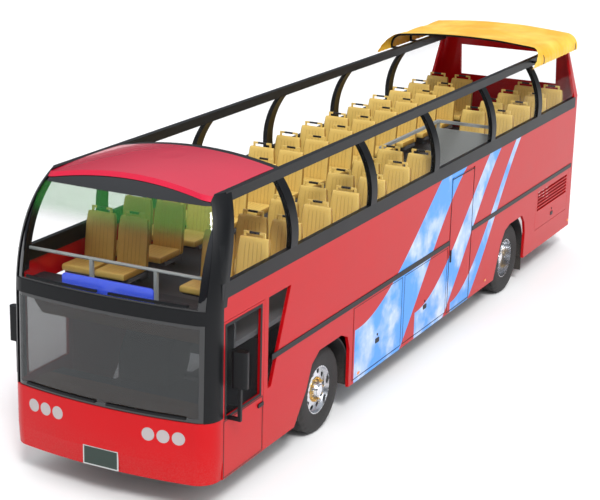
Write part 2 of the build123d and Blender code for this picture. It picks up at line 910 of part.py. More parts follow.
# Canopy cloth over the last rows, its side edges reaching forward
canopy_length = canopy_tip_x - canopy_back_x
with BuildPart() as canopy:
    extrude(canopy_outline(canopy_back_x, 0), amount=canopy_length)
    extrude(
        canopy_outline(canopy_back_x - overrun, canopy_thickness),
        amount=canopy_length + overrun * 2,
        mode=Mode.SUBTRACT,
    )
    with BuildSketch(side_plane(body_width)):
        with BuildLine():
            Polyline(
                (canopy_tip_x, canopy_low_z),
                (canopy_front_x, canopy_shoulder_z),
                (canopy_front_x, canopy_crown_z + overrun),
                (canopy_tip_x + overrun, canopy_crown_z + overrun),
                (canopy_tip_x + overrun, canopy_low_z),
                close=True,
            )
        make_face()
    extrude(amount=body_width * 2, mode=Mode.SUBTRACT)
canopy.part.label = "canopy"
export_step(canopy.part, "parts/canopy.step")

# Hoops that carry the canopy, footed on the rails
hoop_outer = canopy_thickness + running_clearance
with BuildPart() as canopy_hoops:
    for share in hoop_place_shares:
        hoop_x = canopy_back_x + (canopy_front_x - canopy_back_x) * share
        extrude(canopy_outline(hoop_x - hoop_size / 2, hoop_outer), amount=hoop_size)
    for share in hoop_place_shares:
        hoop_x = canopy_back_x + (canopy_front_x - canopy_back_x) * share
        extrude(
            canopy_outline(hoop_x - hoop_size, hoop_outer + hoop_size),
            amount=hoop_size * 2,
            mode=Mode.SUBTRACT,
        )
    for share in hoop_place_shares:
        hoop_x = canopy_back_x + (canopy_front_x - canopy_back_x) * share
        for side in (1, -1):
            slab(
                hoop_x - hoop_size / 2,
                hoop_x + hoop_size / 2,
                side * rail_half_width,
                side * (canopy_half_width - hoop_outer - hoop_size / 2),
                canopy_low_z,
                canopy_low_z + hoop_size,
            )
canopy_hoops.part.label = "canopy_hoops"
export_step(canopy_hoops.part, "parts/canopy_hoops.step")

# Floors, platform, bulkhead and frame as one welded piece
front_notch_half = liner_radius + liner_thickness
cross_member_xs = [
    bulkhead_x - bulkhead_thickness - cross_member_length,
    engine_front_x - cross_member_length,
    engine_back_x,
]
with BuildPart() as underframe:
    slab(
        bulkhead_x,
        lower_floor_front_x,
        -lower_floor_half_width,
        lower_floor_half_width,
        lower_floor_z - floor_thickness,
        lower_floor_z,
    )
    for side in (1, -1):
        slab(
            front_axle_x - front_notch_half,
            front_axle_x + front_notch_half,
            side * (liner_inner_y - liner_thickness),
            side * half_width,
            0,
            upper_floor_z,
            mode=Mode.SUBTRACT,
        )
    slab(
        front_axle_x + front_notch_half,
        lower_floor_front_x,
        platform_inner_y,
        lower_floor_half_width,
        lower_floor_z,
        lower_floor_z + platform_height,
    )
    slab(
        bulkhead_x - bulkhead_thickness,
        bulkhead_x,
        -wall_inner_y,
        wall_inner_y,
        lower_floor_z - floor_thickness,
        upper_floor_z - floor_thickness,
    )
    for side in (1, -1):
        slab(
            frame_end_x,
            bulkhead_x,
            side * (frame_rail_y - frame_rail_width / 2),
            side * (frame_rail_y + frame_rail_width / 2),
            frame_rail_z,
            frame_rail_z + frame_rail_height,
        )
        slab(
            front_axle_x + front_notch_half,
            corner_x,
            side * (frame_rail_y - frame_rail_width / 2),
            side * (frame_rail_y + frame_rail_width / 2),
            lower_floor_z - floor_thickness - frame_rail_width,
            lower_floor_z - floor_thickness,
        )
    for member_x in cross_member_xs:
        slab(
            member_x,
            member_x + cross_member_length,
            -frame_rail_y,
            frame_rail_y,
            frame_rail_z,
            frame_rail_z + frame_rail_height,
        )
    slab(
        frame_end_x,
        frame_end_x + cross_member_length,
        -wall_inner_y,
        wall_inner_y,
        frame_rail_z,
        frame_rail_z + frame_rail_height,
    )
    front_beam_z = lower_floor_z - floor_thickness - frame_rail_width
    slab(
        corner_x - cross_member_length,
        corner_x,
        -frame_rail_y,
        frame_rail_y,
        front_beam_z,
        front_beam_z + frame_rail_width,
    )
    tow_front_x = corner_x + tow_eye_width
    slab(
        corner_x,
        tow_front_x,
        -tow_eye_length / 2,
        tow_eye_length / 2,
        front_beam_z,
        front_beam_z + frame_rail_width,
    )
    slab(
        frame_end_x,
        frame_end_x + tow_eye_width,
        -tow_eye_length / 2,
        tow_eye_length / 2,
        front_beam_z,
        frame_rail_z,
    )
    tow_z = front_beam_z + frame_rail_width / 2
    for tow_x in (tow_front_x - tow_eye_width / 2, frame_end_x + tow_eye_width / 2):
        with Locations(Location((tow_x, 0, tow_z), (90, 0, 0))):
            Cylinder(tow_eye_radius, tow_eye_length + seam, mode=Mode.SUBTRACT)
    for pad_x in (front_axle_x + front_notch_half + jack_pad_size, bulkhead_x + jack_pad_size):
        for side in (1, -1):
            slab(
                pad_x - jack_pad_size / 2,
                pad_x + jack_pad_size / 2,
                side * jack_pad_y - jack_pad_size / 2,
                side * jack_pad_y + jack_pad_size / 2,
                lower_floor_z - floor_thickness - jack_pad_drop,
                lower_floor_z - floor_thickness,
            )
underframe.part.label = "underframe"
export_step(underframe.part, "parts/underframe.step")

# Upper deck floor with its stairwell
with BuildPart() as upper_floor:
    slab(
        rear_wall_front_x,
        upper_floor_front_x,
        -wall_inner_y,
        wall_inner_y,
        upper_floor_z - floor_thickness,
        upper_floor_z,
    )
    slab(
        stair_back_x,
        stair_front_x,
        stair_inner_y,
        half_width,
        upper_floor_z - overrun,
        upper_floor_z + overrun,
        mode=Mode.SUBTRACT,
    )
    for side in (1, -1):
        slab(
            driver_door_back_x - wall,
            upper_floor_front_x,
            side * lower_floor_half_width,
            side * half_width,
            upper_floor_z - overrun,
            upper_floor_z + overrun,
            mode=Mode.SUBTRACT,
        )
upper_floor.part.label = "upper_floor"
export_step(upper_floor.part, "parts/upper_floor.step")

# Stairs down from the stairwell towards the mid door
stair_rise = (upper_floor_z - lower_floor_z) / (stair_count + 1)
stair_run = stair_width / stair_count
stair_top_x = stair_back_x
stair_outer_y = wall_inner_y - seam
stair_side_y = stair_outer_y - stair_width
with BuildPart() as stairs:
    for index in range(stair_count):
        step_z = upper_floor_z - (index + 1) * stair_rise
        slab(
            stair_top_x + index * stair_run,
            stair_top_x + (index + 1) * stair_run + wall,
            stair_side_y,
            stair_outer_y,
            step_z - wall,
            step_z,
        )
    for edge_y in (stair_side_y, stair_outer_y - guard_thickness):
        with BuildSketch(side_plane(edge_y + guard_thickness)):
            with BuildLine():
                Polyline(
                    (stair_top_x, upper_floor_z - stair_rise),
                    (stair_top_x, upper_floor_z - floor_thickness - stair_rise * 2),
                    (stair_top_x + stair_width - stair_run, lower_floor_z),
                    (stair_top_x + stair_width + wall, lower_floor_z),
                    (stair_top_x + stair_width + wall, lower_floor_z + stair_rise),
                    close=True,
                )
            make_face()
        extrude(amount=guard_thickness)
    slab(
        stair_top_x,
        stair_top_x + guard_thickness,
        stair_side_y,
        stair_outer_y,
        upper_floor_z - stair_rise - wall,
        upper_floor_z - floor_thickness,
    )
    slab(
        stair_top_x - guard_thickness,
        stair_top_x + guard_thickness,
        stair_side_y,
        stair_outer_y,
        upper_floor_z - floor_thickness - guard_thickness,
        upper_floor_z - floor_thickness,
    )
stairs.part.label = "stairs"
export_step(stairs.part, "parts/stairs.step")

# Stair guard, its rails, and the hand bar behind the upper windscreen
guard_top_z = upper_floor_z + guard_height
guard_outer_y = half_width - pillar_thickness
with BuildPart() as handrails:
    slab(
        stair_back_x - guard_thickness,
        stair_back_x,
        stair_inner_y,
        guard_outer_y,
        upper_floor_z,
        guard_top_z - guard_tube * 3,
    )
    slab(
        stair_back_x - guard_tube,
        stair_back_x,
        stair_inner_y - guard_tube,
        guard_outer_y,
        guard_top_z - guard_tube,
        guard_top_z,
    )
    for post_y in (stair_inner_y - guard_tube, guard_outer_y - guard_tube):
        slab(stair_back_x - guard_tube, stair_back_x, post_y, post_y + guard_tube, upper_floor_z, guard_top_z)
    slab(
        stair_back_x - guard_tube,
        stair_front_x + guard_tube,
        stair_inner_y - guard_tube,
        stair_inner_y,
        guard_top_z - guard_tube,
        guard_top_z,
    )
    slab(
        stair_front_x,
        stair_front_x + guard_tube,
        stair_inner_y - guard_tube,
        stair_inner_y,
        upper_floor_z,
        guard_top_z,
    )
    bar_half_y = half_width - pillar_thickness
    with Locations(Location((bar_x, 0, bar_z), (90, 0, 0))):
        Cylinder(bar_size / 2, bar_half_y * 2 - seam)
    for side in (1, -1):
        slab(
            bar_x - bar_size / 2,
            bar_x + bar_size / 2,
            side * bar_half_y / 3 - bar_size / 2,
            side * bar_half_y / 3 + bar_size / 2,
            shelf_top_z,
            bar_z,
        )
handrails.part.label = "handrails"
export_step(handrails.part, "parts/handrails.step")

# Shelf behind the upper windscreen, its kick board and the panel below it
with BuildPart() as front_shelf:
    nose(["screen", "band"], wall, back_x=upper_floor_front_x + shelf_back_thickness)
    slab(0, body_length, -body_width, body_width, shelf_top_z, body_length, mode=Mode.SUBTRACT)
    slab(
        upper_floor_front_x,
        upper_floor_front_x + shelf_back_thickness,
        -lower_floor_half_width,
        lower_floor_half_width,
        upper_floor_z - floor_thickness,
        shelf_top_z,
    )
    with BuildSketch(side_plane(fascia_half_width)):
        with BuildLine():
            Polyline(
                (fascia_top_x, screen_top_z),
                (fascia_top_x - fascia_thickness, screen_top_z),
                (fascia_low_x - fascia_thickness, fascia_low_z),
                (fascia_low_x, fascia_low_z),
                close=True,
            )
        make_face()
    extrude(amount=fascia_half_width * 2)
front_shelf.part.label = "front_shelf"
export_step(front_shelf.part, "parts/front_shelf.step")

# Blank destination sign on the shelf
with BuildPart() as blank_sign:
    with BuildSketch(Plane.YZ.offset(sign_x)):
        with Locations((0, shelf_top_z + sign_height / 2)):
            RectangleRounded(sign_width, sign_height, sign_height * 0.16)
    extrude(amount=sign_thickness)
blank_sign.part.label = "blank_sign"
export_step(blank_sign.part, "parts/blank_sign.step")


# Seats
right_rows = range(right_row_count)
seat_places = [(index, 1) for index in left_rows] + [(index, -1) for index in right_rows]
cushion_back_x = back_lean / 2
cushion_low_z = cushion_top_z - cushion_thickness
frame_drop = wall
back_low_z = cushion_top_z
with BuildPart() as seat_cushions:
    for index, side in seat_places:
        row_x = first_row_x - index * seat_row_pitch
        for half in (1, -1):
            centre_y = side * seat_centre_y + half * seat_pair_pitch / 2
            slab(
                row_x + cushion_back_x,
                row_x + cushion_back_x + cushion_length,
                centre_y - seat_width / 2,
                centre_y + seat_width / 2,
                cushion_low_z,
                cushion_top_z,
            )
seat_cushions.part.label = "seat_cushions"
export_step(seat_cushions.part, "parts/seat_cushions.step")

with BuildPart() as seat_backs:
    for index, side in seat_places:
        row_x = first_row_x - index * seat_row_pitch
        for half in (1, -1):
            outer_y = side * seat_centre_y + half * seat_pair_pitch / 2 + seat_width / 2
            with BuildSketch(side_plane(outer_y)):
                with BuildLine():
                    Polyline(
                        (row_x + cushion_back_x, cushion_low_z),
                        (row_x + cushion_back_x, back_low_z),
                        (row_x - back_lean / 2 + back_thickness * 0.7, cushion_top_z + back_height),
                        (row_x - back_lean / 2, cushion_top_z + back_height),
                        (row_x + cushion_back_x - back_thickness, cushion_low_z),
                        close=True,
                    )
                make_face()
            extrude(amount=seat_width)
seat_backs.part.label = "seat_backs"
export_step(seat_backs.part, "parts/seat_backs.step")

with BuildPart() as seat_frames:
    for index, side in seat_places:
        row_x = first_row_x - index * seat_row_pitch
        pair_half = (seat_pair_pitch + seat_width) / 2
        slab(
            row_x + cushion_back_x,
            row_x + cushion_back_x + cushion_length * 0.8,
            side * seat_centre_y - pair_half,
            side * seat_centre_y + pair_half,
            cushion_low_z - frame_drop,
            cushion_low_z,
        )
        slab(
            row_x + cushion_back_x + cushion_length * 0.2,
            row_x + cushion_back_x + cushion_length * 0.6,
            side * seat_centre_y - seat_leg_width / 2,
            side * seat_centre_y + seat_leg_width / 2,
            upper_floor_z,
            cushion_low_z - frame_drop,
        )
seat_frames.part.label = "seat_frames"
export_step(seat_frames.part, "parts/seat_frames.step")

handle_z = cushion_top_z + back_height
with BuildPart() as seat_handles:
    for index, side in seat_places:
        row_x = first_row_x - index * seat_row_pitch
        for half in (1, -1):
            centre_y = side * seat_centre_y + half * seat_pair_pitch / 2
            with BuildSketch(Plane.YZ.offset(row_x - back_lean / 2 + handle_tube / 2)):
                with BuildLine():
                    Polyline(
                        (centre_y - handle_width / 2, handle_z),
                        (centre_y - handle_width / 2, handle_z + handle_rise),
                        (centre_y + handle_width / 2, handle_z + handle_rise),
                        (centre_y + handle_width / 2, handle_z),
                        (centre_y + handle_width / 2 - handle_tube, handle_z),
                        (centre_y + handle_width / 2 - handle_tube, handle_z + handle_rise - handle_tube),
                        (centre_y - handle_width / 2 + handle_tube, handle_z + handle_rise - handle_tube),
                        (centre_y - handle_width / 2 + handle_tube, handle_z),
                        close=True,
                    )
                make_face()
            extrude(amount=handle_tube)
seat_handles.part.label = "seat_handles"
export_step(seat_handles.part, "parts/seat_handles.step")

# Driver's place
platform_z = lower_floor_z + platform_height
with BuildPart() as dashboard:
    with BuildSketch(side_plane(fascia_half_width)):
        with BuildLine():
            Polyline(
                (dash_back_x, dash_low_z),
                (dash_back_x, dash_top_z - wall),
                (corner_x - wall, dash_top_z),
                (corner_x + nose_depth / 3, dash_top_z - wall),
                (corner_x + nose_depth / 3, dash_low_z),
                close=True,
            )
        make_face()
    extrude(amount=fascia_half_width * 2)
    slab(
        lower_floor_front_x - cross_member_length,
        lower_floor_front_x,
        driver_seat_y - driver_seat_width / 2,
        driver_seat_y + driver_seat_width / 2,
        platform_z,
        dash_low_z,
    )
dashboard.part.label = "dashboard"
export_step(dashboard.part, "parts/dashboard.step")

ring_plane = Plane(
    origin=(wheel_ring_x, driver_seat_y, wheel_ring_z),
    x_dir=(0, 1, 0),
    z_dir=(-sin(radians(wheel_ring_tilt)), 0, cos(radians(wheel_ring_tilt))),
)
column_length = (wheel_ring_z - dash_top_z + wall) / cos(radians(wheel_ring_tilt)) + wall
with BuildPart() as steering_wheel:
    with BuildSketch(ring_plane.offset(-wheel_ring_tube / 2)):
        Circle(wheel_ring_radius)
        Circle(wheel_ring_radius - wheel_ring_tube, mode=Mode.SUBTRACT)
        Rectangle(wheel_ring_radius * 2 - wheel_ring_tube, wheel_ring_tube)
    extrude(amount=wheel_ring_tube)
    with BuildSketch(ring_plane):
        Circle(column_radius)
    extrude(amount=-column_length)
    slab(dash_back_x, body_length, -body_width, body_width, 0, dash_top_z + wall, mode=Mode.SUBTRACT)
steering_wheel.part.label = "steering_wheel"
export_step(steering_wheel.part, "parts/steering_wheel.step")

with BuildPart() as driver_seat:
    seat_half = driver_seat_width / 2
    slab(
        driver_seat_x - seat_half,
        driver_seat_x + seat_half,
        driver_seat_y - seat_half,
        driver_seat_y + seat_half,
        driver_cushion_z - cushion_thickness,
        driver_cushion_z,
    )
    slab(
        driver_seat_x - seat_half - back_thickness,
        driver_seat_x - seat_half,
        driver_seat_y - seat_half,
        driver_seat_y + seat_half,
        driver_cushion_z - cushion_thickness,
        driver_cushion_z + driver_back_height,
    )
    slab(
        driver_seat_x - seat_half / 2,
        driver_seat_x + seat_half / 2,
        driver_seat_y - seat_half / 2,
        driver_seat_y + seat_half / 2,
        platform_z,
        driver_cushion_z - cushion_thickness,
    )
driver_seat.part.label = "driver_seat"
export_step(driver_seat.part, "parts/driver_seat.step")

# Headlamps and tail lamps, set flush in the panels
with BuildPart() as lamps:
    lamp_pins(lamp_radius - lamp_gap, Mode.ADD)
    nose(["skirt", "bumper", "mask"], 0, mode=Mode.INTERSECT, back_x=nose_back_x)
    nose(["skirt", "bumper", "mask"], wall, mode=Mode.SUBTRACT, back_x=nose_back_x)
    for side in (1, -1):
        slab(
            -half_length,
            tail_lamp_thickness - half_length,
            side * tail_lamp_y - tail_lamp_width / 2,
            side * tail_lamp_y + tail_lamp_width / 2,
            tail_lamp_z - tail_lamp_height / 2,
            tail_lamp_z + tail_lamp_height / 2,
        )
lamps.part.label = "lamps"
export_step(lamps.part, "parts/lamps.step")

with BuildPart() as number_plates:
    slab(
        half_length - plate_set_in - plate_thickness,
        half_length - plate_set_in,
        -plate_width / 2,
        plate_width / 2,
        plate_low_z,
        plate_low_z + plate_height,
    )
    slab(
        -half_length,
        plate_thickness - half_length,
        -plate_width / 2,
        plate_width / 2,
        plate_low_z,
        plate_low_z + plate_height,
    )
number_plates.part.label = "number_plates"
export_step(number_plates.part, "parts/number_plates.step")

# Wipers lying along the foot of each windscreen


def wiper_blades(levels, low_z, back_x):
    """Two blades that follow one windscreen a hair in front of its glass."""
    for start_share, end_share in wiper_reach_shares:
        slab(
            corner_x - nose_depth,
            half_length + nose_depth,
            start_share * half_width,
            end_share * half_width,
            low_z,
            low_z + wiper_height,
        )
    nose(levels, glass_inset - wiper_gap - wiper_depth, mode=Mode.INTERSECT, back_x=back_x)
    nose(levels, glass_inset - wiper_gap, mode=Mode.SUBTRACT, back_x=back_x, extra_back=overrun)


with BuildPart() as upper_wipers:
    wiper_blades(upper_levels, upper_wiper_z, None)
with BuildPart() as wipers:
    wiper_blades(["mask", "screen"], lower_wiper_z, nose_back_x)
    add(upper_wipers.part)
wipers.part.label = "wipers"
export_step(wipers.part, "parts/wipers.step")

# Wheel arch liners with mud flaps behind the rear wheels
with BuildPart() as wheel_liners:
    for axle_x in (front_axle_x, rear_axle_x):
        for inset, mode in ((0, Mode.ADD), (liner_thickness, Mode.SUBTRACT)):
            radius = liner_radius - inset
            with BuildSketch(side_plane(wall_inner_y)) as arch:
                with BuildLine():
                    Line((axle_x - radius, skirt_z - inset), (axle_x - radius, tyre_radius))
                    ThreePointArc(
                        (axle_x - radius, tyre_radius),
                        (axle_x, tyre_radius + radius),
                        (axle_x + radius, tyre_radius),
                    )
                    Line((axle_x + radius, tyre_radius), (axle_x + radius, skirt_z - inset))
                    Line((axle_x + radius, skirt_z - inset), (axle_x - radius, skirt_z - inset))
                make_face()
            extrude(arch.sketch, amount=wall_inner_y - liner_inner_y, mode=mode)
        with BuildSketch(side_plane(liner_inner_y)) as end_wall:
            with BuildLine():
                Line((axle_x - liner_radius, skirt_z), (axle_x - liner_radius, tyre_radius))
                ThreePointArc(
                    (axle_x - liner_radius, tyre_radius),
                    (axle_x, tyre_radius + liner_radius),
                    (axle_x + liner_radius, tyre_radius),
                )
                Line((axle_x + liner_radius, tyre_radius), (axle_x + liner_radius, skirt_z))
                Line((axle_x + liner_radius, skirt_z), (axle_x - liner_radius, skirt_z))
            make_face()
        extrude(end_wall.sketch, amount=liner_thickness)
        slab(
            axle_x - liner_slot_half_length,
            axle_x + liner_slot_half_length,
            liner_inner_y - liner_thickness * 2,
            liner_inner_y + liner_thickness,
            0,
            liner_slot_z,
            mode=Mode.SUBTRACT,
        )
    flap_back_x = rear_axle_x - liner_radius - flap_thickness
    slab(
        flap_back_x,
        flap_back_x + flap_thickness,
        liner_inner_y,
        wall_inner_y - flap_thickness,
        skirt_z + flap_height / 2 - flap_height,
        skirt_z + flap_height / 2,
    )
    mirror(about=Plane.XZ)
wheel_liners.part.label = "wheel_liners"
export_step(wheel_liners.part, "parts/wheel_liners.step")

# Engine, one plain block on the frame
with BuildPart() as engine:
    slab(
        engine_back_x,
        engine_front_x,
        -engine_half_width,
        engine_half_width,
        frame_rail_z + frame_rail_height,
        frame_rail_z + frame_rail_height + engine_height,
    )
engine.part.label = "engine"
export_step(engine.part, "parts/engine.step")

# Front axle: a dropped beam under the floor with an upright and two lugs for each knuckle
knuckle_low_z = tyre_radius - knuckle_height / 2
knuckle_top_z = tyre_radius + knuckle_height / 2
upright_y = kingpin_y - knuckle_size / 2 - axle_arm_gap
lug_height = knuckle_size * 0.36
with BuildPart() as front_axle:
    slab(
        front_axle_x - axle_beam / 2,
        front_axle_x + axle_beam / 2,
        -upright_y,
        upright_y,
        lower_floor_z - floor_thickness - axle_beam,
        lower_floor_z - floor_thickness,
    )
    for side in (1, -1):
        slab(
            front_axle_x - axle_beam / 2,
            front_axle_x + axle_beam / 2,
            side * (upright_y - axle_beam),
            side * upright_y,
            lower_floor_z - floor_thickness - axle_beam,
            knuckle_top_z + lug_height,
        )
        for lug_z in (knuckle_low_z - lug_height - running_clearance, knuckle_top_z + running_clearance):
            with Locations((front_axle_x, side * kingpin_y, lug_z)):
                Cylinder(
                    knuckle_size / 2,
                    lug_height - running_clearance,
                    align=(Align.CENTER, Align.CENTER, Align.MIN),
                )
            slab(
                front_axle_x - axle_beam / 2,
                front_axle_x + axle_beam / 2,
                side * (upright_y - axle_beam / 2),
                side * kingpin_y,
                lug_z,
                lug_z + lug_height - running_clearance,
            )
front_axle.part.label = "front_axle"
export_step(front_axle.part, "parts/front_axle.step")

# Rear axle: tube, differential and spring seats under the frame rails
rear_inner_y = rear_outer_y - tyre_width * 2 - twin_gap
spindle_end_y = rear_outer_y - tyre_width * 0.45
with BuildPart() as rear_axle:
    with Locations(Location((rear_axle_x, 0, tyre_radius), (90, 0, 0))):
        Cylinder(spindle_radius, spindle_end_y * 2)
        Cylinder(rear_tube_radius, (rear_inner_y - seam) * 2)
        Cylinder(diff_radius, frame_rail_y * 0.7)
    for side in (1, -1):
        slab(
            rear_axle_x - rear_tube_radius * 2,
            rear_axle_x + rear_tube_radius * 2,
            side * (frame_rail_y - frame_rail_width / 2),
            side * (frame_rail_y + frame_rail_width / 2),
            tyre_radius + rear_tube_radius / 2,
            frame_rail_z,
        )
rear_axle.part.label = "rear_axle"
export_step(rear_axle.part, "parts/rear_axle.step")

# Knuckles with their spindles
front_spindle_end_y = front_outer_y - tyre_width * 0.25
for side, side_name in ((1, "left"), (-1, "right")):
    with BuildPart() as knuckle:
        with Locations((front_axle_x, side * kingpin_y, tyre_radius)):
            Cylinder(knuckle_size / 2, knuckle_height)
        spindle_y = side * (kingpin_y + front_spindle_end_y) / 2
        with Locations(Location((front_axle_x, spindle_y, tyre_radius), (90, 0, 0))):
            Cylinder(spindle_radius, front_spindle_end_y - kingpin_y)
    knuckle.part.label = f"knuckle_{side_name}"
    export_step(knuckle.part, f"parts/knuckle_{side_name}.step")

# Tyre section: distance from the wheel's axis, depth from the outer face
tyre_bore = rim_radius + running_clearance
tyre_section_shares = [(0.0, 0.10), (0.45, 0.0), (0.76, 0.02), (1.0, 0.17)]


def tyre_at(axle_x, outer_y):
    """One tyre as a revolved section of straight runs."""
    depth = tyre_radius - tyre_bore
    near = [(tyre_bore + depth * out, outer_y - tyre_width * deep) for out, deep in tyre_section_shares]
    mirrored_shares = [(out, 1 - deep) for out, deep in reversed(tyre_section_shares)]
    far = [(tyre_bore + depth * out, outer_y - tyre_width * deep) for out, deep in mirrored_shares]
    revolved_section(axle_x, near + far)


def revolved_section(axle_x, points):
    """Turns an outline of axis distance and Y about a wheel's axis."""
    wheel_plane = Plane(origin=(axle_x, 0, tyre_radius), x_dir=(1, 0, 0), z_dir=(0, 0, 1))
    with BuildSketch(wheel_plane) as section:
        with BuildLine():
            Polyline(*points, close=True)
        make_face()
    revolve(section.sketch, axis=Axis((axle_x, 0, tyre_radius), (0, 1, 0)))


def hand_holes(axle_x, low_y, high_y):
    """The ring of ventilation holes through a wheel disc."""
    ring_plane_at = Plane(origin=(axle_x, high_y, tyre_radius), x_dir=(1, 0, 0), z_dir=(0, -1, 0))
    with BuildSketch(ring_plane_at) as holes:
        with PolarLocations(rim_radius * hand_hole_ring_share, hand_hole_count):
            Circle(hand_hole_radius)
    extrude(holes.sketch, amount=high_y - low_y, mode=Mode.SUBTRACT)


bore_radius = spindle_radius + running_clearance
barrel_inner = rim_radius - rim_wall
bead_set_in = tyre_width * 0.10
wheel_kinds = [("front", front_axle_x, front_outer_y), ("rear", rear_axle_x, rear_outer_y)]
for kind, axle_x, outer_y in wheel_kinds:
    for side, side_name in ((1, "left"), (-1, "right")):
        with BuildPart() as tyres:
            tyre_at(axle_x, outer_y)
            if kind == "rear":
                tyre_at(axle_x, outer_y - tyre_width - twin_gap)
            if side < 0:
                mirror(about=Plane.XZ, mode=Mode.REPLACE)
        tyres.part.label = f"tyres_{kind}_{side_name}"
        export_step(tyres.part, f"parts/tyres_{kind}_{side_name}.step")

        rim_inner_y = outer_y - tyre_width + bead_set_in
        disc_y = outer_y - tyre_width * 0.30
        hub_top_y = outer_y - tyre_width * 0.06
        hub_low_y = outer_y - tyre_width * 0.72
        if kind == "rear":
            rim_inner_y = outer_y - tyre_width * 2 - twin_gap + bead_set_in
            disc_y = outer_y - tyre_width * 0.78
            hub_top_y = outer_y - tyre_width * 0.30
            hub_low_y = outer_y - tyre_width * 1.25
        rim_points = [
            (barrel_inner, rim_inner_y),
            (rim_radius, rim_inner_y),
            (rim_radius, outer_y - bead_set_in),
            (barrel_inner, outer_y - bead_set_in),
            (barrel_inner, disc_y),
            (hub_radius * 1.5, disc_y + disc_thickness),
            (hub_radius, disc_y + disc_thickness),
            (hub_radius * 0.8, hub_top_y),
            (0, hub_top_y),
            (0, hub_top_y - disc_thickness),
            (bore_radius, hub_top_y - disc_thickness),
            (bore_radius, hub_low_y),
            (hub_radius, hub_low_y),
            (hub_radius, disc_y),
            (hub_radius * 1.5, disc_y),
            (barrel_inner, disc_y - disc_thickness),
        ]
        with BuildPart() as rim:
            revolved_section(axle_x, rim_points)
            hand_holes(axle_x, disc_y - disc_thickness * 2, disc_y + disc_thickness * 2)
            if side < 0:
                mirror(about=Plane.XZ, mode=Mode.REPLACE)
        rim.part.label = f"rim_{kind}_{side_name}"
        export_step(rim.part, f"parts/rim_{kind}_{side_name}.step")
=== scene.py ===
"""Looks of the open-top double-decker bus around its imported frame, laid out as an add-on."""

import json
import math

import bmesh
import bpy
from bpy.props import FloatProperty, FloatVectorProperty, IntProperty, PointerProperty
from mathutils import Matrix, Vector, noise


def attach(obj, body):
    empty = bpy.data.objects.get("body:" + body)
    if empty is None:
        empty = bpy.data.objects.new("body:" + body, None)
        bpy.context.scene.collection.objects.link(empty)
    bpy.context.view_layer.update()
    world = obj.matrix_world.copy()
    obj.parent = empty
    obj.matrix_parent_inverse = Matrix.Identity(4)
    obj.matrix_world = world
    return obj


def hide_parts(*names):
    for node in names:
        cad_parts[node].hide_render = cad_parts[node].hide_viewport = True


bl_info = {
    "name": "Open-top bus looks",
    "version": (1, 0, 0),
    "blender": (4, 5, 0),
    "location": "3D View, Sidebar, Bus",
    "description": "Finishes, soft pieces, tyres and trim of an open-top double-decker bus",
    "category": "Object",
}

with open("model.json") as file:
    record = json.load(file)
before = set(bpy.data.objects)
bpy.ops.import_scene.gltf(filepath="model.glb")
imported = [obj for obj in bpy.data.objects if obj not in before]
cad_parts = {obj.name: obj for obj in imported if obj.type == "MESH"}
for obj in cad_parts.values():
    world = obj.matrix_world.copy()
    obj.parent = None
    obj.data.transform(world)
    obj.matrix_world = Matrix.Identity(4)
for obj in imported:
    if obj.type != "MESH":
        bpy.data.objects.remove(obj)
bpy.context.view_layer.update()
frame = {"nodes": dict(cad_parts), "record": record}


def length(name, value, description):
    """A size in metres."""
    return FloatProperty(name=name, description=description, default=value, unit="LENGTH", precision=4)


def number(name, value, description):
    """A whole number."""
    return IntProperty(name=name, description=description, default=value)


def colour(name, value, description):
    """A linear colour."""
    return FloatVectorProperty(
        name=name, description=description, default=value, size=3, subtype="COLOR", min=0, max=1
    )


class BusSizes(bpy.types.PropertyGroup):
    """Sizes in metres, in the shared frame."""

    tyre_radius: length("Tyre radius", 0.522, "From the axle's centre to the tread")
    tyre_width: length("Tyre width", 0.295, "Width of one tyre over its walls")
    tyre_bore: length("Tyre bore", 0.2903, "Radius of the bead on the rim")
    twin_gap: length("Gap between twins", 0.030, "Space between the two tyres of a rear wheel")
    groove_depth: length("Tread groove depth", 0.012, "Depth of the grooves round the tread")
    tyre_segments: number("Segments round a tyre", 120, "Steps round a tyre, a multiple of four")
    nut_ring_radius: length("Nut ring radius", 0.131, "Radius of the circle of wheel nuts")
    nut_radius: length("Nut radius", 0.0165, "From a wheel nut's axis to its corners")
    nut_count: number("Wheel nuts", 10, "Number of nuts on one wheel")
    seat_width: length("Seat width", 0.405, "Width of one seat")
    seat_pitch: length("Pitch of a pair's seats", 0.430, "Between the centres of a pair's two seats")
    seat_centre: length("Pair's centre from the middle", 0.755, "Sideways place of each pair of seats")
    first_row: length("First row", 4.498, "Place of the first row along the bus")
    row_pitch: length("Row pitch", 0.751, "From one row to the next")
    cushion_length: length("Cushion length", 0.430, "From a cushion's back to its front")
    cushion_low: length("Cushion's underside", 2.100, "Height of the cushions' undersides")
    cushion_top: length("Cushion's top", 2.180, "Height of the cushions' tops")
    back_top: length("Top of the back", 2.680, "Height of the seat backs' tops")
    canopy_front: length("Canopy front", -3.935, "Canopy's front edge between its tips")
    canopy_tip: length("Canopy's forward tips", -3.480, "Front ends of the canopy's sides")
    canopy_back: length("Canopy back", -5.560, "Canopy's back edge")
    canopy_inset: length("Cloth under the outer face", 0.008, "How far the cloth lies below that face")
    side: length("Outer side", 1.250, "From the middle to the body's outer skin")


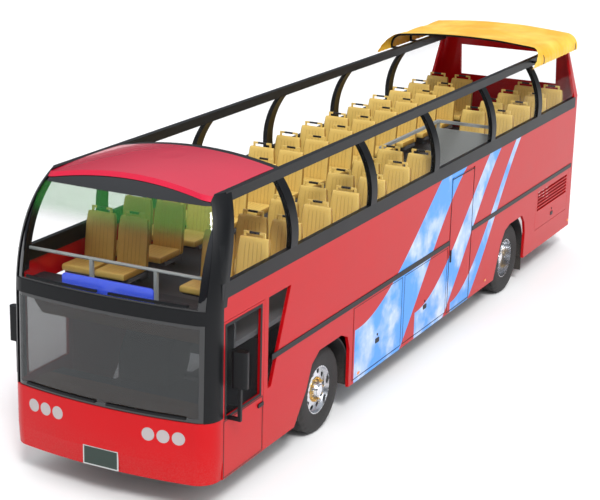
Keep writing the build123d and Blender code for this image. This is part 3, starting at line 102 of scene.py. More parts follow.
class BusColours(bpy.types.PropertyGroup):
    """Linear colours of the finishes."""

    body: colour("Body red", (0.50, 0.0008, 0.004), "Paint of the body")
    # Roof red is the roof's own paint, made lighter and pinker than the body red as painted sheen on the top
    roof: colour("Roof red", (0.58, 0.002, 0.035), "Paint of the front roof")
    sky: colour("Sky blue", (0.075, 0.33, 0.84), "Sky in the bands along the sides")
    cloud: colour("Cloud", (0.66, 0.74, 0.86), "Clouds in the bands along the sides")
    trim: colour("Black trim", (0.0045, 0.005, 0.006), "Black trim of the body")
    seat: colour("Seat face", (0.80, 0.56, 0.15), "Seats' faces and the ends of their handles")
    seat_side: colour("Seat side", (0.40, 0.22, 0.035), "Seats' sides and seams")
    canopy: colour("Canopy cloth", (0.92, 0.47, 0.022), "Cloth over the back rows")
    shade: colour("Windscreen shade band", (0.012, 0.20, 0.022), "Band along the upper windscreen's top")
    sign: colour("Blank sign", (0.045, 0.10, 0.78), "Face of the sign")
    plate: colour("Blank plate", (0.012, 0.030, 0.022), "Face of the plates")
    fascia: colour("Fascia", (0.34, 0.115, 0.012), "Board under the front shelf")
    brass: colour("Nut ring", (0.62, 0.42, 0.16), "Wheel nuts and their ring")
    rail: colour("Stair rail", (0.33, 0.35, 0.34), "Painted rails")


class Graph:
    """Short calls that build one node tree."""

    def __init__(self, tree):
        self.tree = tree

    def feed(self, socket, value):
        """Links a socket, or sets its constant."""
        if isinstance(value, bpy.types.NodeSocket):
            self.tree.links.new(value, socket)
        elif socket.type == "RGBA" and len(value) == 3:
            socket.default_value = (*value, 1.0)
        else:
            socket.default_value = value

    def node(self, kind, inputs=None, **settings):
        """A node with its settings and inputs."""
        made = self.tree.nodes.new(kind)
        for key, value in settings.items():
            setattr(made, key, value)
        for key, value in (inputs or {}).items():
            self.feed(made.inputs[key], value)
        return made

    def math(self, operation, *values):
        """A math node's result."""
        return self.node("ShaderNodeMath", dict(enumerate(values)), operation=operation).outputs[0]

    def step(self, value, low, high, to_low=0.0, to_high=1.0):
        """A smooth step of a value between two places."""
        inputs = {"Value": value, "From Min": low, "From Max": high, "To Min": to_low, "To Max": to_high}
        return self.node("ShaderNodeMapRange", inputs, interpolation_type="SMOOTHSTEP").outputs[0]

    def mix(self, factor, first, second):
        """A mix of two colours."""
        made = self.node("ShaderNodeMix", {0: factor}, data_type="RGBA")
        self.feed(made.inputs[6], first)
        self.feed(made.inputs[7], second)
        return made.outputs[2]

    def times(self, first, second):
        """The product of two values."""
        return self.math("MULTIPLY", first, second)

    def plus(self, first, second):
        """The sum of two values."""
        return self.math("ADD", first, second)

    def minus(self, first, second):
        """The first value less the second."""
        return self.math("SUBTRACT", first, second)

    def over(self, value, limit):
        """One where a value is over a limit, and zero elsewhere."""
        return self.math("GREATER_THAN", value, limit)

    def under(self, value, limit):
        """One where a value is under a limit, and zero elsewhere."""
        return self.math("LESS_THAN", value, limit)

    def size(self, value):
        """A value without its sign."""
        return self.math("ABSOLUTE", value)

    def noise(self, scale, detail):
        """A noise texture's value in the object's coordinates."""
        where = self.node("ShaderNodeTexCoord").outputs["Object"]
        inputs = {"Vector": where, "Scale": scale, "Detail": detail}
        return self.node("ShaderNodeTexNoise", inputs).outputs["Fac"]

    def place(self):
        """The object's X, Y and Z."""
        where = self.node("ShaderNodeTexCoord").outputs["Object"]
        return self.node("ShaderNodeSeparateXYZ", {0: where}).outputs

    def bump(self, height, strength, distance):
        """A normal from a height."""
        inputs = {"Height": height, "Strength": strength, "Distance": distance}
        return self.node("ShaderNodeBump", inputs).outputs["Normal"]

    def group(self, name, **inputs):
        """An instance of a shared group."""
        made = self.tree.nodes.new("ShaderNodeGroup")
        made.node_tree = GROUPS[name]
        for key, value in inputs.items():
            self.feed(made.inputs[key.replace("_", " ")], value)
        return made.outputs


GROUPS = {}


def new_group(name, inputs, outputs):
    """A shader group with named sockets, and its graph, group input and output."""
    tree = bpy.data.node_groups.new(name, "ShaderNodeTree")
    for label, kind in inputs:
        tree.interface.new_socket(label, in_out="INPUT", socket_type=kind)
    for label, kind in outputs:
        tree.interface.new_socket(label, in_out="OUTPUT", socket_type=kind)
    graph = Graph(tree)
    GROUPS[name] = tree
    return graph, graph.node("NodeGroupInput").outputs, graph.node("NodeGroupOutput").inputs


FLOAT, COLOR = "NodeSocketFloat", "NodeSocketColor"

# Height of the grain on hard finishes
GRAIN_HEIGHT = 0.0006

# Road dust: the heights where it starts and where it is full, and its colour
DUST_TOP, DUST_FULL, DUST_COLOUR = 0.95, 0.32, (0.30, 0.25, 0.20)

# Columns of a sky band: front end of its sweep, the sweep's length, half the band's width
BANDS = ((2.45, 4.1, 0.62), (0.62, 3.7, 0.36), (-0.62, 3.3, 0.18))

# Heights where the bands' sweeps begin and end, and how far out the body's sides begin
SWEEP_LOW, SWEEP_TOP, SIDES_FROM = 0.30, 2.75, 1.19

# A pane's black edging, the depth over which its shade band fades, and a distance past every pane
EDGING, SHADE_DEPTH, BEYOND = (0.006, 0.006, 0.007), 0.22, 9.0


def wear_group():
    """Uneven colour, road dust low down, uneven gloss and a fine grain."""
    graph, given, out = new_group(
        "Wear",
        [("Colour", COLOR), ("Roughness", FLOAT), ("Variation", FLOAT), ("Dust", FLOAT), ("Grain", FLOAT)],
        [("Colour", COLOR), ("Roughness", FLOAT), ("Height", FLOAT)],
    )
    patches, mean = graph.noise(1.7, 4.0), 0.5
    fine = graph.noise(given["Grain"], 5.0)
    shift = graph.times(graph.minus(patches, mean), given["Variation"])
    value = graph.plus(shift, 1.0)
    shaded = graph.node("ShaderNodeHueSaturation", {"Value": value, "Color": given["Colour"]}).outputs[0]
    low = graph.step(graph.place()["Z"], DUST_TOP, DUST_FULL)
    dust = graph.times(graph.times(low, given["Dust"]), graph.step(fine, 0.35, 0.7))
    graph.feed(out["Colour"], graph.mix(dust, shaded, DUST_COLOUR))
    rough = graph.plus(given["Roughness"], graph.times(shift, 0.6))
    graph.feed(out["Roughness"], graph.plus(rough, graph.times(dust, 0.5)))
    graph.feed(out["Height"], fine)


def band_group():
    """Sweeping bands of sky and cloud along the sides, over the paint's own colour."""
    graph, given, out = new_group(
        "Sky bands", [("Paint", COLOR), ("Sky", COLOR), ("Cloud", COLOR)], [("Colour", COLOR)]
    )
    where = graph.place()
    on_side = graph.over(graph.size(where["Y"]), SIDES_FROM)
    mask, soft_edge = 0.0, 0.006
    for start, run, half in BANDS:
        end, wide, narrow = start - run, half * 1.25, half * 0.35
        centre = graph.step(where["X"], start, end, SWEEP_LOW, SWEEP_TOP)
        off = graph.size(graph.minus(where["Z"], centre))
        width = graph.step(where["X"], start + 0.5, end, wide, narrow)
        inside = graph.step(graph.minus(off, width), soft_edge, -soft_edge)
        within = graph.times(graph.under(where["X"], start - 0.02), graph.over(where["X"], end))
        mask = graph.math("MAXIMUM", mask, graph.times(inside, within))
    mask = graph.times(mask, on_side)
    puffs = graph.step(graph.noise(1.6, 6.0), 0.44, 0.62)
    wisps = graph.step(graph.noise(6.0, 6.0), 0.42, 0.70)
    clouds = graph.times(puffs, graph.plus(graph.times(wisps, 0.4), 0.6))
    sky = graph.mix(clouds, given["Sky"], given["Cloud"])
    graph.feed(out["Colour"], graph.mix(mask, given["Paint"], sky))


def pane_group():
    """Black edging and a shade band of a pane, by height and distance from the middle."""
    graph, given, out = new_group(
        "Pane",
        [
            ("Tint", COLOR),
            ("Band", COLOR),
            ("Tint Alpha", FLOAT),
            ("Band Alpha", FLOAT),
            ("Edge Low", FLOAT),
            ("Edge High", FLOAT),
            ("Edge Side", FLOAT),
            ("Band From", FLOAT),
        ],
        [("Colour", COLOR), ("Alpha", FLOAT)],
    )
    where = graph.place()
    low = graph.under(where["Z"], given["Edge Low"])
    high = graph.over(where["Z"], given["Edge High"])
    side = graph.over(graph.size(where["Y"]), given["Edge Side"])
    edge = graph.math("MAXIMUM", graph.math("MAXIMUM", low, high), side)
    band_end = graph.plus(given["Band From"], SHADE_DEPTH)
    band = graph.step(where["Z"], given["Band From"], band_end)
    clear = graph.mix(band, given["Tint"], given["Band"])
    spread = graph.minus(given["Band Alpha"], given["Tint Alpha"])
    alpha = graph.plus(given["Tint Alpha"], graph.times(band, spread))
    graph.feed(out["Colour"], graph.mix(edge, clear, EDGING))
    graph.feed(out["Alpha"], graph.math("MAXIMUM", alpha, edge))


def vinyl_group():
    """Sewn channels, darker sides and leather grain of a pad, from its own across and along values."""
    graph, given, out = new_group(
        "Vinyl",
        [("Face", COLOR), ("Side", COLOR), ("Channels", FLOAT)],
        [("Colour", COLOR), ("Height", FLOAT), ("Roughness", FLOAT)],
    )
    pad = graph.node("ShaderNodeUVMap", uv_map="pad").outputs[0]
    place = graph.node("ShaderNodeSeparateXYZ", {0: pad}).outputs
    middle = 0.5
    across = graph.size(graph.minus(place["X"], middle))
    along = graph.size(graph.minus(place["Y"], middle))
    wave = graph.math("COSINE", graph.times(graph.times(across, given["Channels"]), math.tau))
    sewn = graph.times(graph.under(across, 0.36), graph.under(along, 0.40))
    seam = graph.times(graph.step(wave, 0.90, 1.0), sewn)
    side = graph.step(across, 0.470, 0.492)
    grain = graph.noise(420.0, 2.0)
    blotch = graph.noise(9.0, 3.0)
    face = graph.mix(graph.times(blotch, 0.22), given["Face"], given["Side"])
    body = graph.mix(side, face, given["Side"])
    graph.feed(out["Colour"], graph.mix(graph.times(seam, 0.65), body, given["Side"]))
    graph.feed(out["Height"], graph.minus(graph.times(grain, 0.12), seam))
    graph.feed(out["Roughness"], graph.plus(0.38, graph.times(blotch, 0.16)))


def cloth_group():
    """A coated cloth's weave, folds and faded patches."""
    graph, given, out = new_group(
        "Coated cloth", [("Colour", COLOR), ("Threads", FLOAT)], [("Colour", COLOR), ("Height", FLOAT)]
    )
    where = graph.place()
    weave = 0.0
    for axis in ("X", "Y"):
        turns = graph.times(where[axis], given["Threads"])
        weave = graph.plus(weave, graph.math("SINE", turns))
    faded = (0.98, 0.66, 0.10)
    fold = graph.step(graph.noise(2.4, 4.0), 0.35, 0.75)
    graph.feed(out["Colour"], graph.mix(fold, given["Colour"], faded))
    graph.feed(out["Height"], graph.plus(graph.times(weave, 0.08), graph.noise(14.0, 4.0)))


def tread_group():
    """Sipes round the tread and fine rings on the walls, from the wheel's own centre."""
    graph, given, out = new_group(
        "Tread", [("Sipes", FLOAT), ("Tread From", FLOAT)], [("Height", FLOAT), ("Dust", FLOAT)]
    )
    zigzags, lean_share = 70.0, 1.4
    wall_rings, ring_height = 900.0, 0.25
    where = graph.place()
    angle = graph.math("ARCTAN2", where["Z"], where["X"])
    squares = graph.plus(graph.math("POWER", where["X"], 2.0), graph.math("POWER", where["Z"], 2.0))
    radius = graph.math("SQRT", squares)
    zigzag = graph.math("SINE", graph.times(where["Y"], zigzags))
    lean = graph.times(graph.size(zigzag), lean_share)
    sipe = graph.math("SINE", graph.plus(graph.times(angle, given["Sipes"]), lean))
    on_tread = graph.over(radius, given["Tread From"])
    ring = graph.times(graph.math("SINE", graph.times(radius, wall_rings)), ring_height)
    rings = graph.times(ring, graph.minus(1.0, on_tread))
    cuts = graph.times(graph.step(sipe, 0.72, 0.9, 0.0, -1.0), on_tread)
    graph.feed(out["Height"], graph.plus(cuts, rings))
    graph.feed(out["Dust"], graph.times(graph.noise(22.0, 5.0), 0.55))


def shader(name):
    """An empty material's graph and its Principled shader."""
    made = bpy.data.materials.new(name)
    made.use_nodes = True
    graph = Graph(made.node_tree)
    return made, graph, made.node_tree.nodes["Principled BSDF"].inputs


def worn(
    name, base, rough, metal=0.0, coat=0.0, grain=180.0, depth=0.15, variation=0.12, dust=0.0, shine=0.5
):
    """A hard finish: paint, metal or moulded plastic."""
    made, graph, inputs = shader(name)
    wear = graph.group("Wear", Colour=base, Roughness=rough, Variation=variation, Dust=dust, Grain=grain)
    graph.feed(inputs["Base Color"], wear["Colour"])
    graph.feed(inputs["Roughness"], wear["Roughness"])
    graph.feed(inputs["Metallic"], metal)
    graph.feed(inputs["Specular IOR Level"], shine)
    graph.feed(inputs["Coat Weight"], coat)
    graph.feed(inputs["Coat Roughness"], 0.04)
    graph.feed(inputs["Normal"], graph.bump(wear["Height"], strength=depth, distance=GRAIN_HEIGHT))
    return made


def paint(colours):
    """Body paint with the sky bands."""
    made, graph, inputs = shader("body_paint")
    bands = graph.group("Sky bands", Paint=colours.body, Sky=colours.sky, Cloud=colours.cloud)
    wear = graph.group("Wear", Colour=bands[0], Roughness=0.34, Variation=0.10, Dust=0.10, Grain=60.0)
    graph.feed(inputs["Base Color"], wear["Colour"])
    graph.feed(inputs["Roughness"], wear["Roughness"])
    graph.feed(inputs["Specular IOR Level"], 0.16)
    graph.feed(inputs["Coat Weight"], 0.12)
    graph.feed(inputs["Coat Roughness"], 0.03)
    graph.feed(inputs["Normal"], graph.bump(graph.noise(2.2, 2.0), strength=0.05, distance=0.02))
    return made


def glass(
    name, tint, alpha, low=-BEYOND, high=BEYOND, side=BEYOND, band=None, band_from=BEYOND, band_alpha=0.5
):
    """A thin pane whose edging hides what is behind and whose face reflects at a slant."""
    made, graph, inputs = shader(name)
    pane = graph.group(
        "Pane",
        Tint=tint,
        Band=band or tint,
        Tint_Alpha=alpha,
        Band_Alpha=band_alpha,
        Edge_Low=low,
        Edge_High=high,
        Edge_Side=side,
        Band_From=band_from,
    )
    facing = graph.node("ShaderNodeLayerWeight", {"Blend": 0.5}).outputs["Facing"]
    slant = graph.times(graph.math("POWER", facing, 5.0), 0.45)
    graph.feed(inputs["Base Color"], pane["Colour"])
    graph.feed(inputs["Alpha"], graph.math("MAXIMUM", pane["Alpha"], slant))
    wear = graph.group("Wear", Colour=tint, Roughness=0.03, Variation=0.03, Dust=0.0, Grain=40.0)
    graph.feed(inputs["Roughness"], wear["Roughness"])
    graph.feed(inputs["Coat Weight"], 0.6)
    graph.feed(inputs["Normal"], graph.bump(graph.noise(1.3, 1.0), strength=0.02, distance=0.01))
    return made


def vinyl(colours):
    """Seat vinyl."""
    made, graph, inputs = shader("seat_vinyl")
    look = graph.group("Vinyl", Face=colours.seat, Side=colours.seat_side, Channels=8.0)
    graph.feed(inputs["Base Color"], look["Colour"])
    graph.feed(inputs["Roughness"], look["Roughness"])
    graph.feed(inputs["Normal"], graph.bump(look["Height"], strength=0.7, distance=0.006))
    return made


def cloth(colours):
    """Coated canopy cloth."""
    made, graph, inputs = shader("canopy_cloth")
    look = graph.group("Coated cloth", Colour=colours.canopy, Threads=2400.0)
    graph.feed(inputs["Base Color"], look["Colour"])
    graph.feed(inputs["Roughness"], 0.46)
    graph.feed(inputs["Normal"], graph.bump(look["Height"], strength=0.35, distance=0.004))
    return made


def rubber():
    """Tyre rubber."""
    made, graph, inputs = shader("tyre_rubber")
    look = graph.group("Tread", Sipes=76.0, Tread_From=0.512)
    clean, dusty = (0.012, 0.012, 0.013), (0.07, 0.064, 0.058)
    graph.feed(inputs["Base Color"], graph.mix(look["Dust"], clean, dusty))
    graph.feed(inputs["Roughness"], graph.plus(0.62, graph.times(look["Dust"], 0.4)))
    graph.feed(inputs["Normal"], graph.bump(look["Height"], strength=0.8, distance=0.004))
    return made


def two_tone(name, choose, first, second, rough):
    """A moulded finish with a second colour where choose says so."""
    made, graph, inputs = shader(name)
    pick = choose(graph, graph.place())
    base = graph.mix(pick, first, second)
    wear = graph.group("Wear", Colour=base, Roughness=rough, Variation=0.12, Dust=0.0, Grain=240.0)
    graph.feed(inputs["Base Color"], wear["Colour"])
    graph.feed(inputs["Roughness"], wear["Roughness"])
    graph.feed(inputs["Normal"], graph.bump(wear["Height"], strength=0.2, distance=GRAIN_HEIGHT))
    return made


def grip_mask(graph, where):
    """The middle of each seat's handle."""
    sizes = bpy.context.scene.bus_sizes
    grip_half = 0.062
    from_pair = graph.size(graph.minus(graph.size(where["Y"]), sizes.seat_centre))
    from_seat = graph.size(graph.minus(from_pair, sizes.seat_pitch / 2))
    return graph.under(from_seat, grip_half)


def plate_mask(graph, where):
    """A plate's pale frame."""
    face_half_width, face_half_height, centre_z = 0.205, 0.096, 0.505
    wide = graph.over(graph.size(where["Y"]), face_half_width)
    tall = graph.over(graph.size(graph.minus(where["Z"], centre_z)), face_half_height)
    return graph.math("MAXIMUM", wide, tall)


def fascia_mask(graph, where):
    """The fascia under the shelf, between the two decks' windscreens."""
    shelf_z, nose_x = 2.112, 5.4
    return graph.times(graph.under(where["Z"], shelf_z), graph.over(where["X"], nose_x))


def lamp_mask(graph, where):
    """The lamps at the back."""
    return graph.under(where["X"], 0.0)


def floor_mask(graph, where):
    """Narrow ribs along a floor."""
    return graph.step(graph.math("SINE", graph.times(where["Y"], 260.0)), 0.4, 0.8)


LOOKS = {}


def make_looks(colours):
    """Every material, by its name."""
    for make in (wear_group, band_group, pane_group, vinyl_group, cloth_group, tread_group):
        make()
    LOOKS.update(
        body_red=paint(colours),
        # Roof paint whose lighter, pinker base colour partly holds painted sheen
        roof_red=worn(
            "roof_paint_and_sheen", colours.roof, 0.24, coat=0.35, grain=50.0, depth=0.0, variation=0.16, shine=0.3
        ),
        black_trim=worn("black_trim", colours.trim, 0.40, shine=0.22),
        dark_interior=two_tone("dark_interior", fascia_mask, (0.014, 0.015, 0.018), colours.fascia, 0.55),
        seat_vinyl=vinyl(colours),
        seat_frame=worn("seat_frame", (0.10, 0.10, 0.105), 0.5),
        canopy_cloth=cloth(colours),
        floor_grey=two_tone("ribbed_floor", floor_mask, (0.06, 0.062, 0.066), (0.13, 0.13, 0.135), 0.7),
        frame_black=worn("chassis", (0.022, 0.022, 0.024), 0.6, dust=0.5),
        tyre=rubber(),
        rim_silver=worn("polished_rim", (0.72, 0.73, 0.75), 0.22, metal=1.0, grain=300.0, variation=0.25),
        axle_steel=worn("axle_casting", (0.045, 0.045, 0.05), 0.7, grain=90.0, depth=0.5, dust=0.4),
        lamp_glass=two_tone("lamp_lenses", lamp_mask, (0.40, 0.36, 0.36), (0.50, 0.010, 0.006), 0.10),
        plate=two_tone("blank_plate", plate_mask, colours.plate, (0.45, 0.47, 0.46), 0.4),
        sign_blue=worn("blank_sign", colours.sign, 0.35, coat=0.3),
        rail_grey=worn("rail_paint", colours.rail, 0.35, coat=0.2),
        rubber_black=worn("black_rubber", (0.011, 0.011, 0.012), 0.75, grain=120.0, depth=0.4, dust=0.3),
        engine_metal=worn("engine_casting", (0.09, 0.09, 0.095), 0.6, metal=0.4, grain=70.0, depth=0.6),
        clear_glass=glass("side_panes", (0.020, 0.028, 0.027), 0.03),
        # Painted shade: the lower windscreen's near-black tint at 0.60 alpha stands in for the dim cab seen
        # through it
        lower_windscreen=glass(
            "lower_windscreen", (0.010, 0.013, 0.014), 0.60, low=1.115, high=2.075, side=1.10
        ),
        upper_windscreen=glass(
            "upper_windscreen",
            (0.010, 0.014, 0.014),
            0.05,
            low=2.275,
            high=3.255,
            side=1.075,
            band=colours.shade,
            band_from=2.86,
            band_alpha=0.30,
        ),
        grips=two_tone("seat_handles", grip_mask, colours.seat, (0.012, 0.012, 0.013), 0.45),
        brass=worn("nut_ring", colours.brass, 0.32, metal=1.0, grain=260.0),
        chrome=worn("chrome", (0.78, 0.79, 0.80), 0.12, metal=1.0, depth=0.04),
        amber=worn("amber_lens", (0.80, 0.22, 0.01), 0.18, coat=0.8),
    )


# Nodes whose look isn't the one of their material slot
OWN_LOOKS = {
    "lower_windscreen": "lower_windscreen",
    "upper_windscreen": "upper_windscreen",
    "seat_handles": "grips",
}


def add_object(name, data):
    """An object in the scene."""
    made = bpy.data.objects.new(name, data)
    bpy.context.scene.collection.objects.link(made)
    return made


def piece(name, bm, look, body, where=(0, 0, 0), smooth=True):
    """A finished mesh piece that rides on a body."""
    mesh = bpy.data.meshes.new(name)
    bmesh.ops.recalc_face_normals(bm, faces=bm.faces)
    bm.to_mesh(mesh)
    bm.free()
    mesh.materials.append(LOOKS[look])
    for polygon in mesh.polygons:
        polygon.use_smooth = smooth
    made = add_object(name, mesh)
    made.location = where
    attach(made, body)
    return made


def rings_to_faces(bm, rings, closed_ring=True, closed_run=False):
    """Joins rows of vertices with quads."""
    pairs = list(zip(rings, rings[1:]))
    if closed_run:
        pairs.append((rings[-1], rings[0]))
    for first, second in pairs:
        count = len(first)
        for index in range(count if closed_ring else count - 1):
            after = (index + 1) % count
            bm.faces.new((first[index], first[after], second[after], second[index]))


def tyre_profile(sizes):
    """Half of a tyre's section from the bead to the tread's middle: radius and distance from the middle."""
    tread, groove = sizes.tyre_radius, sizes.tyre_radius - sizes.groove_depth
    bead = [(sizes.tyre_bore, 0.118), (0.302, 0.127), (0.330, 0.137)]
    wall = [(0.365, 0.1445), (0.395, 0.1475), (0.430, 0.1465)]
    shoulder = [(0.4664, 0.1405), (0.492, 0.128), (0.508, 0.113), (0.518, 0.104), (tread, 0.095)]
    ribs = [(tread, 0.069), (groove, 0.067), (groove, 0.058), (tread, 0.056)]
    middle = [(tread, 0.028), (groove, 0.026), (groove, 0.017), (tread, 0.015)]
    return bead + wall + shoulder + ribs + middle


def add_tyre(bm, sizes, centre_y):
    """One tyre about its own centre, with lugs cut in its shoulders."""
    lug_depth, shoulder_in, shoulder_out = 0.007, 0.094, 0.129
    half = tyre_profile(sizes)
    section = half + [(radius, -out) for radius, out in reversed(half)]
    rings = []
    for index in range(sizes.tyre_segments):
        angle = math.tau * index / sizes.tyre_segments
        low = lug_depth if index % 4 in (0, 1) else 0.0
        ring = []
        for radius, out in section:
            radius -= low if shoulder_in < abs(out) < shoulder_out else 0.0
            point = (radius * math.cos(angle), centre_y + out, radius * math.sin(angle))
            ring.append(bm.verts.new(point))
        rings.append(ring)
    rings_to_faces(bm, rings, closed_run=True)


# Columns: place of the axle along the bus, distance of the tyre's outer face from the middle
WHEELS = {"front": (3.150, 1.165), "rear": (-3.000, 1.190)}


class BUS_OT_tyres(bpy.types.Operator):
    """Tyres with ribs, grooves and shoulder lugs"""

    bl_idname = "bus.tyres"
    bl_label = "Tyres"

    def execute(self, context):
        sizes = context.scene.bus_sizes
        for kind, (axle_x, outer_y) in WHEELS.items():
            for sign, side in ((1, "left"), (-1, "right")):
                bm = bmesh.new()
                add_tyre(bm, sizes, sign * (outer_y - sizes.tyre_width / 2))
                if kind == "rear":
                    add_tyre(bm, sizes, sign * (outer_y - sizes.tyre_width * 1.5 - sizes.twin_gap))
                body = f"wheel_{kind}_{side}"
                made = piece(f"tyre_{kind}_{side}", bm, "tyre", body, (axle_x, 0, sizes.tyre_radius))
                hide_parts(f"tyres_{kind}_{side}")
        return {"FINISHED"}


def add_turned(bm, centre, sign, points, segments):
    """A turned form about Y: distance from its axis and distance out."""
    rings = []
    for radius, out in points:
        ring = []
        for index in range(segments):
            angle = math.tau * index / segments
            offset = Vector((radius * math.cos(angle), sign * out, radius * math.sin(angle)))
            ring.append(bm.verts.new(centre + offset))
        rings.append(ring)
    rings_to_faces(bm, rings)
    bm.faces.new(rings[0])
    bm.faces.new(rings[-1])


# Columns: a wheel disc's back and its hub's face, as shares of the tyre's width in from its outer face
DISCS = {"front": (0.30, 0.06), "rear": (0.78, 0.30)}
DISC_THICKNESS = 0.022

# Columns of a turned profile: radius, distance out
NUT_RING = ((0.112, 0.0005), (0.112, 0.005), (0.114, 0.006), (0.149, 0.006), (0.151, 0.005), (0.151, 0.0005))
HUB_CAP = ((0.072, 0.0005), (0.072, 0.006), (0.064, 0.011), (0.040, 0.0145), (0.012, 0.016))


class BUS_OT_wheel_trim(bpy.types.Operator):
    """Wheel nuts on their ring, and hub caps"""

    bl_idname = "bus.wheel_trim"
    bl_label = "Wheel trim"

    def execute(self, context):
        sizes = context.scene.bus_sizes
        nut, reach, ring_face = sizes.nut_radius, sizes.nut_ring_radius, 0.006
        flats = [(nut, 0), (nut, 0.018), (nut * 0.82, 0.023)]
        stud = [(nut * 0.5, 0.023), (nut * 0.5, 0.033), (nut * 0.38, 0.035)]
        for kind, (axle_x, outer_y) in WHEELS.items():
            disc_share, hub_share = DISCS[kind]
            disc_y = outer_y - disc_share * sizes.tyre_width + DISC_THICKNESS
            hub_y = outer_y - hub_share * sizes.tyre_width
            at = (axle_x, 0, sizes.tyre_radius)
            for sign, side in ((1, "left"), (-1, "right")):
                body = f"wheel_{kind}_{side}"
                centre = Vector((0, sign * disc_y, 0))
                bm = bmesh.new()
                add_turned(bm, centre, sign, NUT_RING, 48)
                for index in range(sizes.nut_count):
                    angle = math.tau * index / sizes.nut_count
                    x, z = reach * math.cos(angle), reach * math.sin(angle)
                    spot = centre + Vector((x, sign * ring_face, z))
                    add_turned(bm, spot, sign, flats, 6)
                    add_turned(bm, spot, sign, stud, 8)
                piece(f"nuts_{kind}_{side}", bm, "brass", body, at, smooth=False)
                bm = bmesh.new()
                add_turned(bm, Vector((0, sign * hub_y, 0)), sign, HUB_CAP, 32)
                piece(f"hub_cap_{kind}_{side}", bm, "chrome", body, at)
        return {"FINISHED"}


# Steps across a pad, from edge to edge, close together where its edges turn
PAD_STEPS = (-1.0, -0.955, -0.84, -0.5, -0.17, 0.17, 0.5, 0.84, 0.955, 1.0)


def add_pad(bm, layer, half, radius, shape):
    """A rounded pad: half sizes, edge radius, and a function that shapes each local point."""
    made = {}
    for axis in range(3):
        for end in (-1.0, 1.0):
            grid = []
            for a in PAD_STEPS:
                row = []
                for b in PAD_STEPS:
                    cube = [a, b]
                    cube.insert(axis, end)
                    key = tuple(cube)
                    if key not in made:
                        full = Vector(c * h for c, h in zip(cube, half))
                        core = Vector(max(r - h, min(h - r, f)) for f, h, r in zip(full, half, [radius] * 3))
                        away = full - core
                        point = core + (away.normalized() * radius if away.length > 1e-9 else away)
                        made[key] = (bm.verts.new(shape(point, cube)), cube)
                    row.append(made[key])
                grid.append(row)
            for first, second in zip(grid, grid[1:]):
                for index in range(len(first) - 1):
                    corners = (first[index], first[index + 1], second[index + 1], second[index])
                    face = bm.faces.new([corner[0] for corner in corners])
                    for loop, corner in zip(face.loops, corners):
                        cube = corner[1]
                        along = cube[0] if half[0] > half[2] else cube[2]
                        loop[layer].uv = (0.5 + 0.5 * cube[1], 0.5 + 0.5 * along)


# Rows on the right, and the ones that the stairwell takes out on the left
ROWS, STAIRWELL_ROWS = 14, (7, 8, 9)


def seat_spots(sizes):
    """Every seat's row place and centre."""
    left = [row for row in range(ROWS) if row not in STAIRWELL_ROWS]
    for side, rows in ((1, left), (-1, range(ROWS))):
        for row in rows:
            row_x = sizes.first_row - row * sizes.row_pitch
            for half in (1, -1):
                yield row_x, side * sizes.seat_centre + half * sizes.seat_pitch / 2


class BUS_OT_seats(bpy.types.Operator):
    """Crowned seat cushions and backs with side bolsters"""

    bl_idname = "bus.seats"
    bl_label = "Seats"

    def execute(self, context):
        sizes = context.scene.bus_sizes
        clearance, cushion_ahead = 0.002, 0.062
        dish_depth, side_pull = 0.012, 0.014
        foot_lean, top_lean, taper = 0.028, -0.040, 0.26
        bolster_depth, bolster_at, bolster_width = 0.009, 0.80, 0.16
        back_half, narrow_from, narrow_by = 0.0295, 0.72, 0.10
        half_w = sizes.seat_width / 2 - clearance
        depth = (sizes.cushion_top - sizes.cushion_low) / 2
        middle = (sizes.cushion_top + sizes.cushion_low) / 2
        rise = (sizes.back_top - sizes.cushion_low) / 2
        back_middle = (sizes.back_top + sizes.cushion_low) / 2
        cushion_halves = (sizes.cushion_length / 2 - clearance, half_w, depth)
        back_halves = (back_half, half_w, rise - clearance / 2)
        cushions, backs = bmesh.new(), bmesh.new()
        cushion_uv, back_uv = cushions.loops.layers.uv.new("pad"), backs.loops.layers.uv.new("pad")
        for row_x, centre_y in seat_spots(sizes):
            centre_x = row_x + cushion_ahead + sizes.cushion_length / 2

            def cushion_shape(point, cube, centre_x=centre_x, centre_y=centre_y):
                dish = dish_depth * (1 - cube[1] ** 2) * (1 - cube[0] ** 2) if cube[2] > 0 else 0.0
                pull = 1.0 - side_pull * (1 - cube[0] ** 2) * abs(cube[1])
                return (centre_x + point.x, centre_y + point.y * pull, middle + point.z - dish)

            def back_shape(point, cube, row_x=row_x, centre_y=centre_y):
                share = (point.z + rise) / (2 * rise)
                lean = foot_lean + (top_lean - foot_lean) * share
                thick = 1.0 - taper * share
                off_bolster = (abs(cube[1]) - bolster_at) / bolster_width
                bolster = bolster_depth * math.exp(-(off_bolster**2)) if cube[0] > 0 else 0.0
                bolster *= max(0.0, min(1.0, (share - 0.2) * 4)) * max(0.0, min(1.0, (0.98 - share) * 8))
                narrow = 1.0 - narrow_by * max(0.0, share - narrow_from) / (1 - narrow_from)
                x = row_x + lean + point.x * thick + bolster
                return (x, centre_y + point.y * narrow, back_middle + point.z)

            add_pad(cushions, cushion_uv, cushion_halves, 0.028, cushion_shape)
            add_pad(backs, back_uv, back_halves, 0.024, back_shape)
        made = piece("seat_cushion_pads", cushions, "seat_vinyl", "coach_body")
        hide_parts("seat_cushions")
        made = piece("seat_back_pads", backs, "seat_vinyl", "coach_body")
        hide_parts("seat_backs")
        return {"FINISHED"}


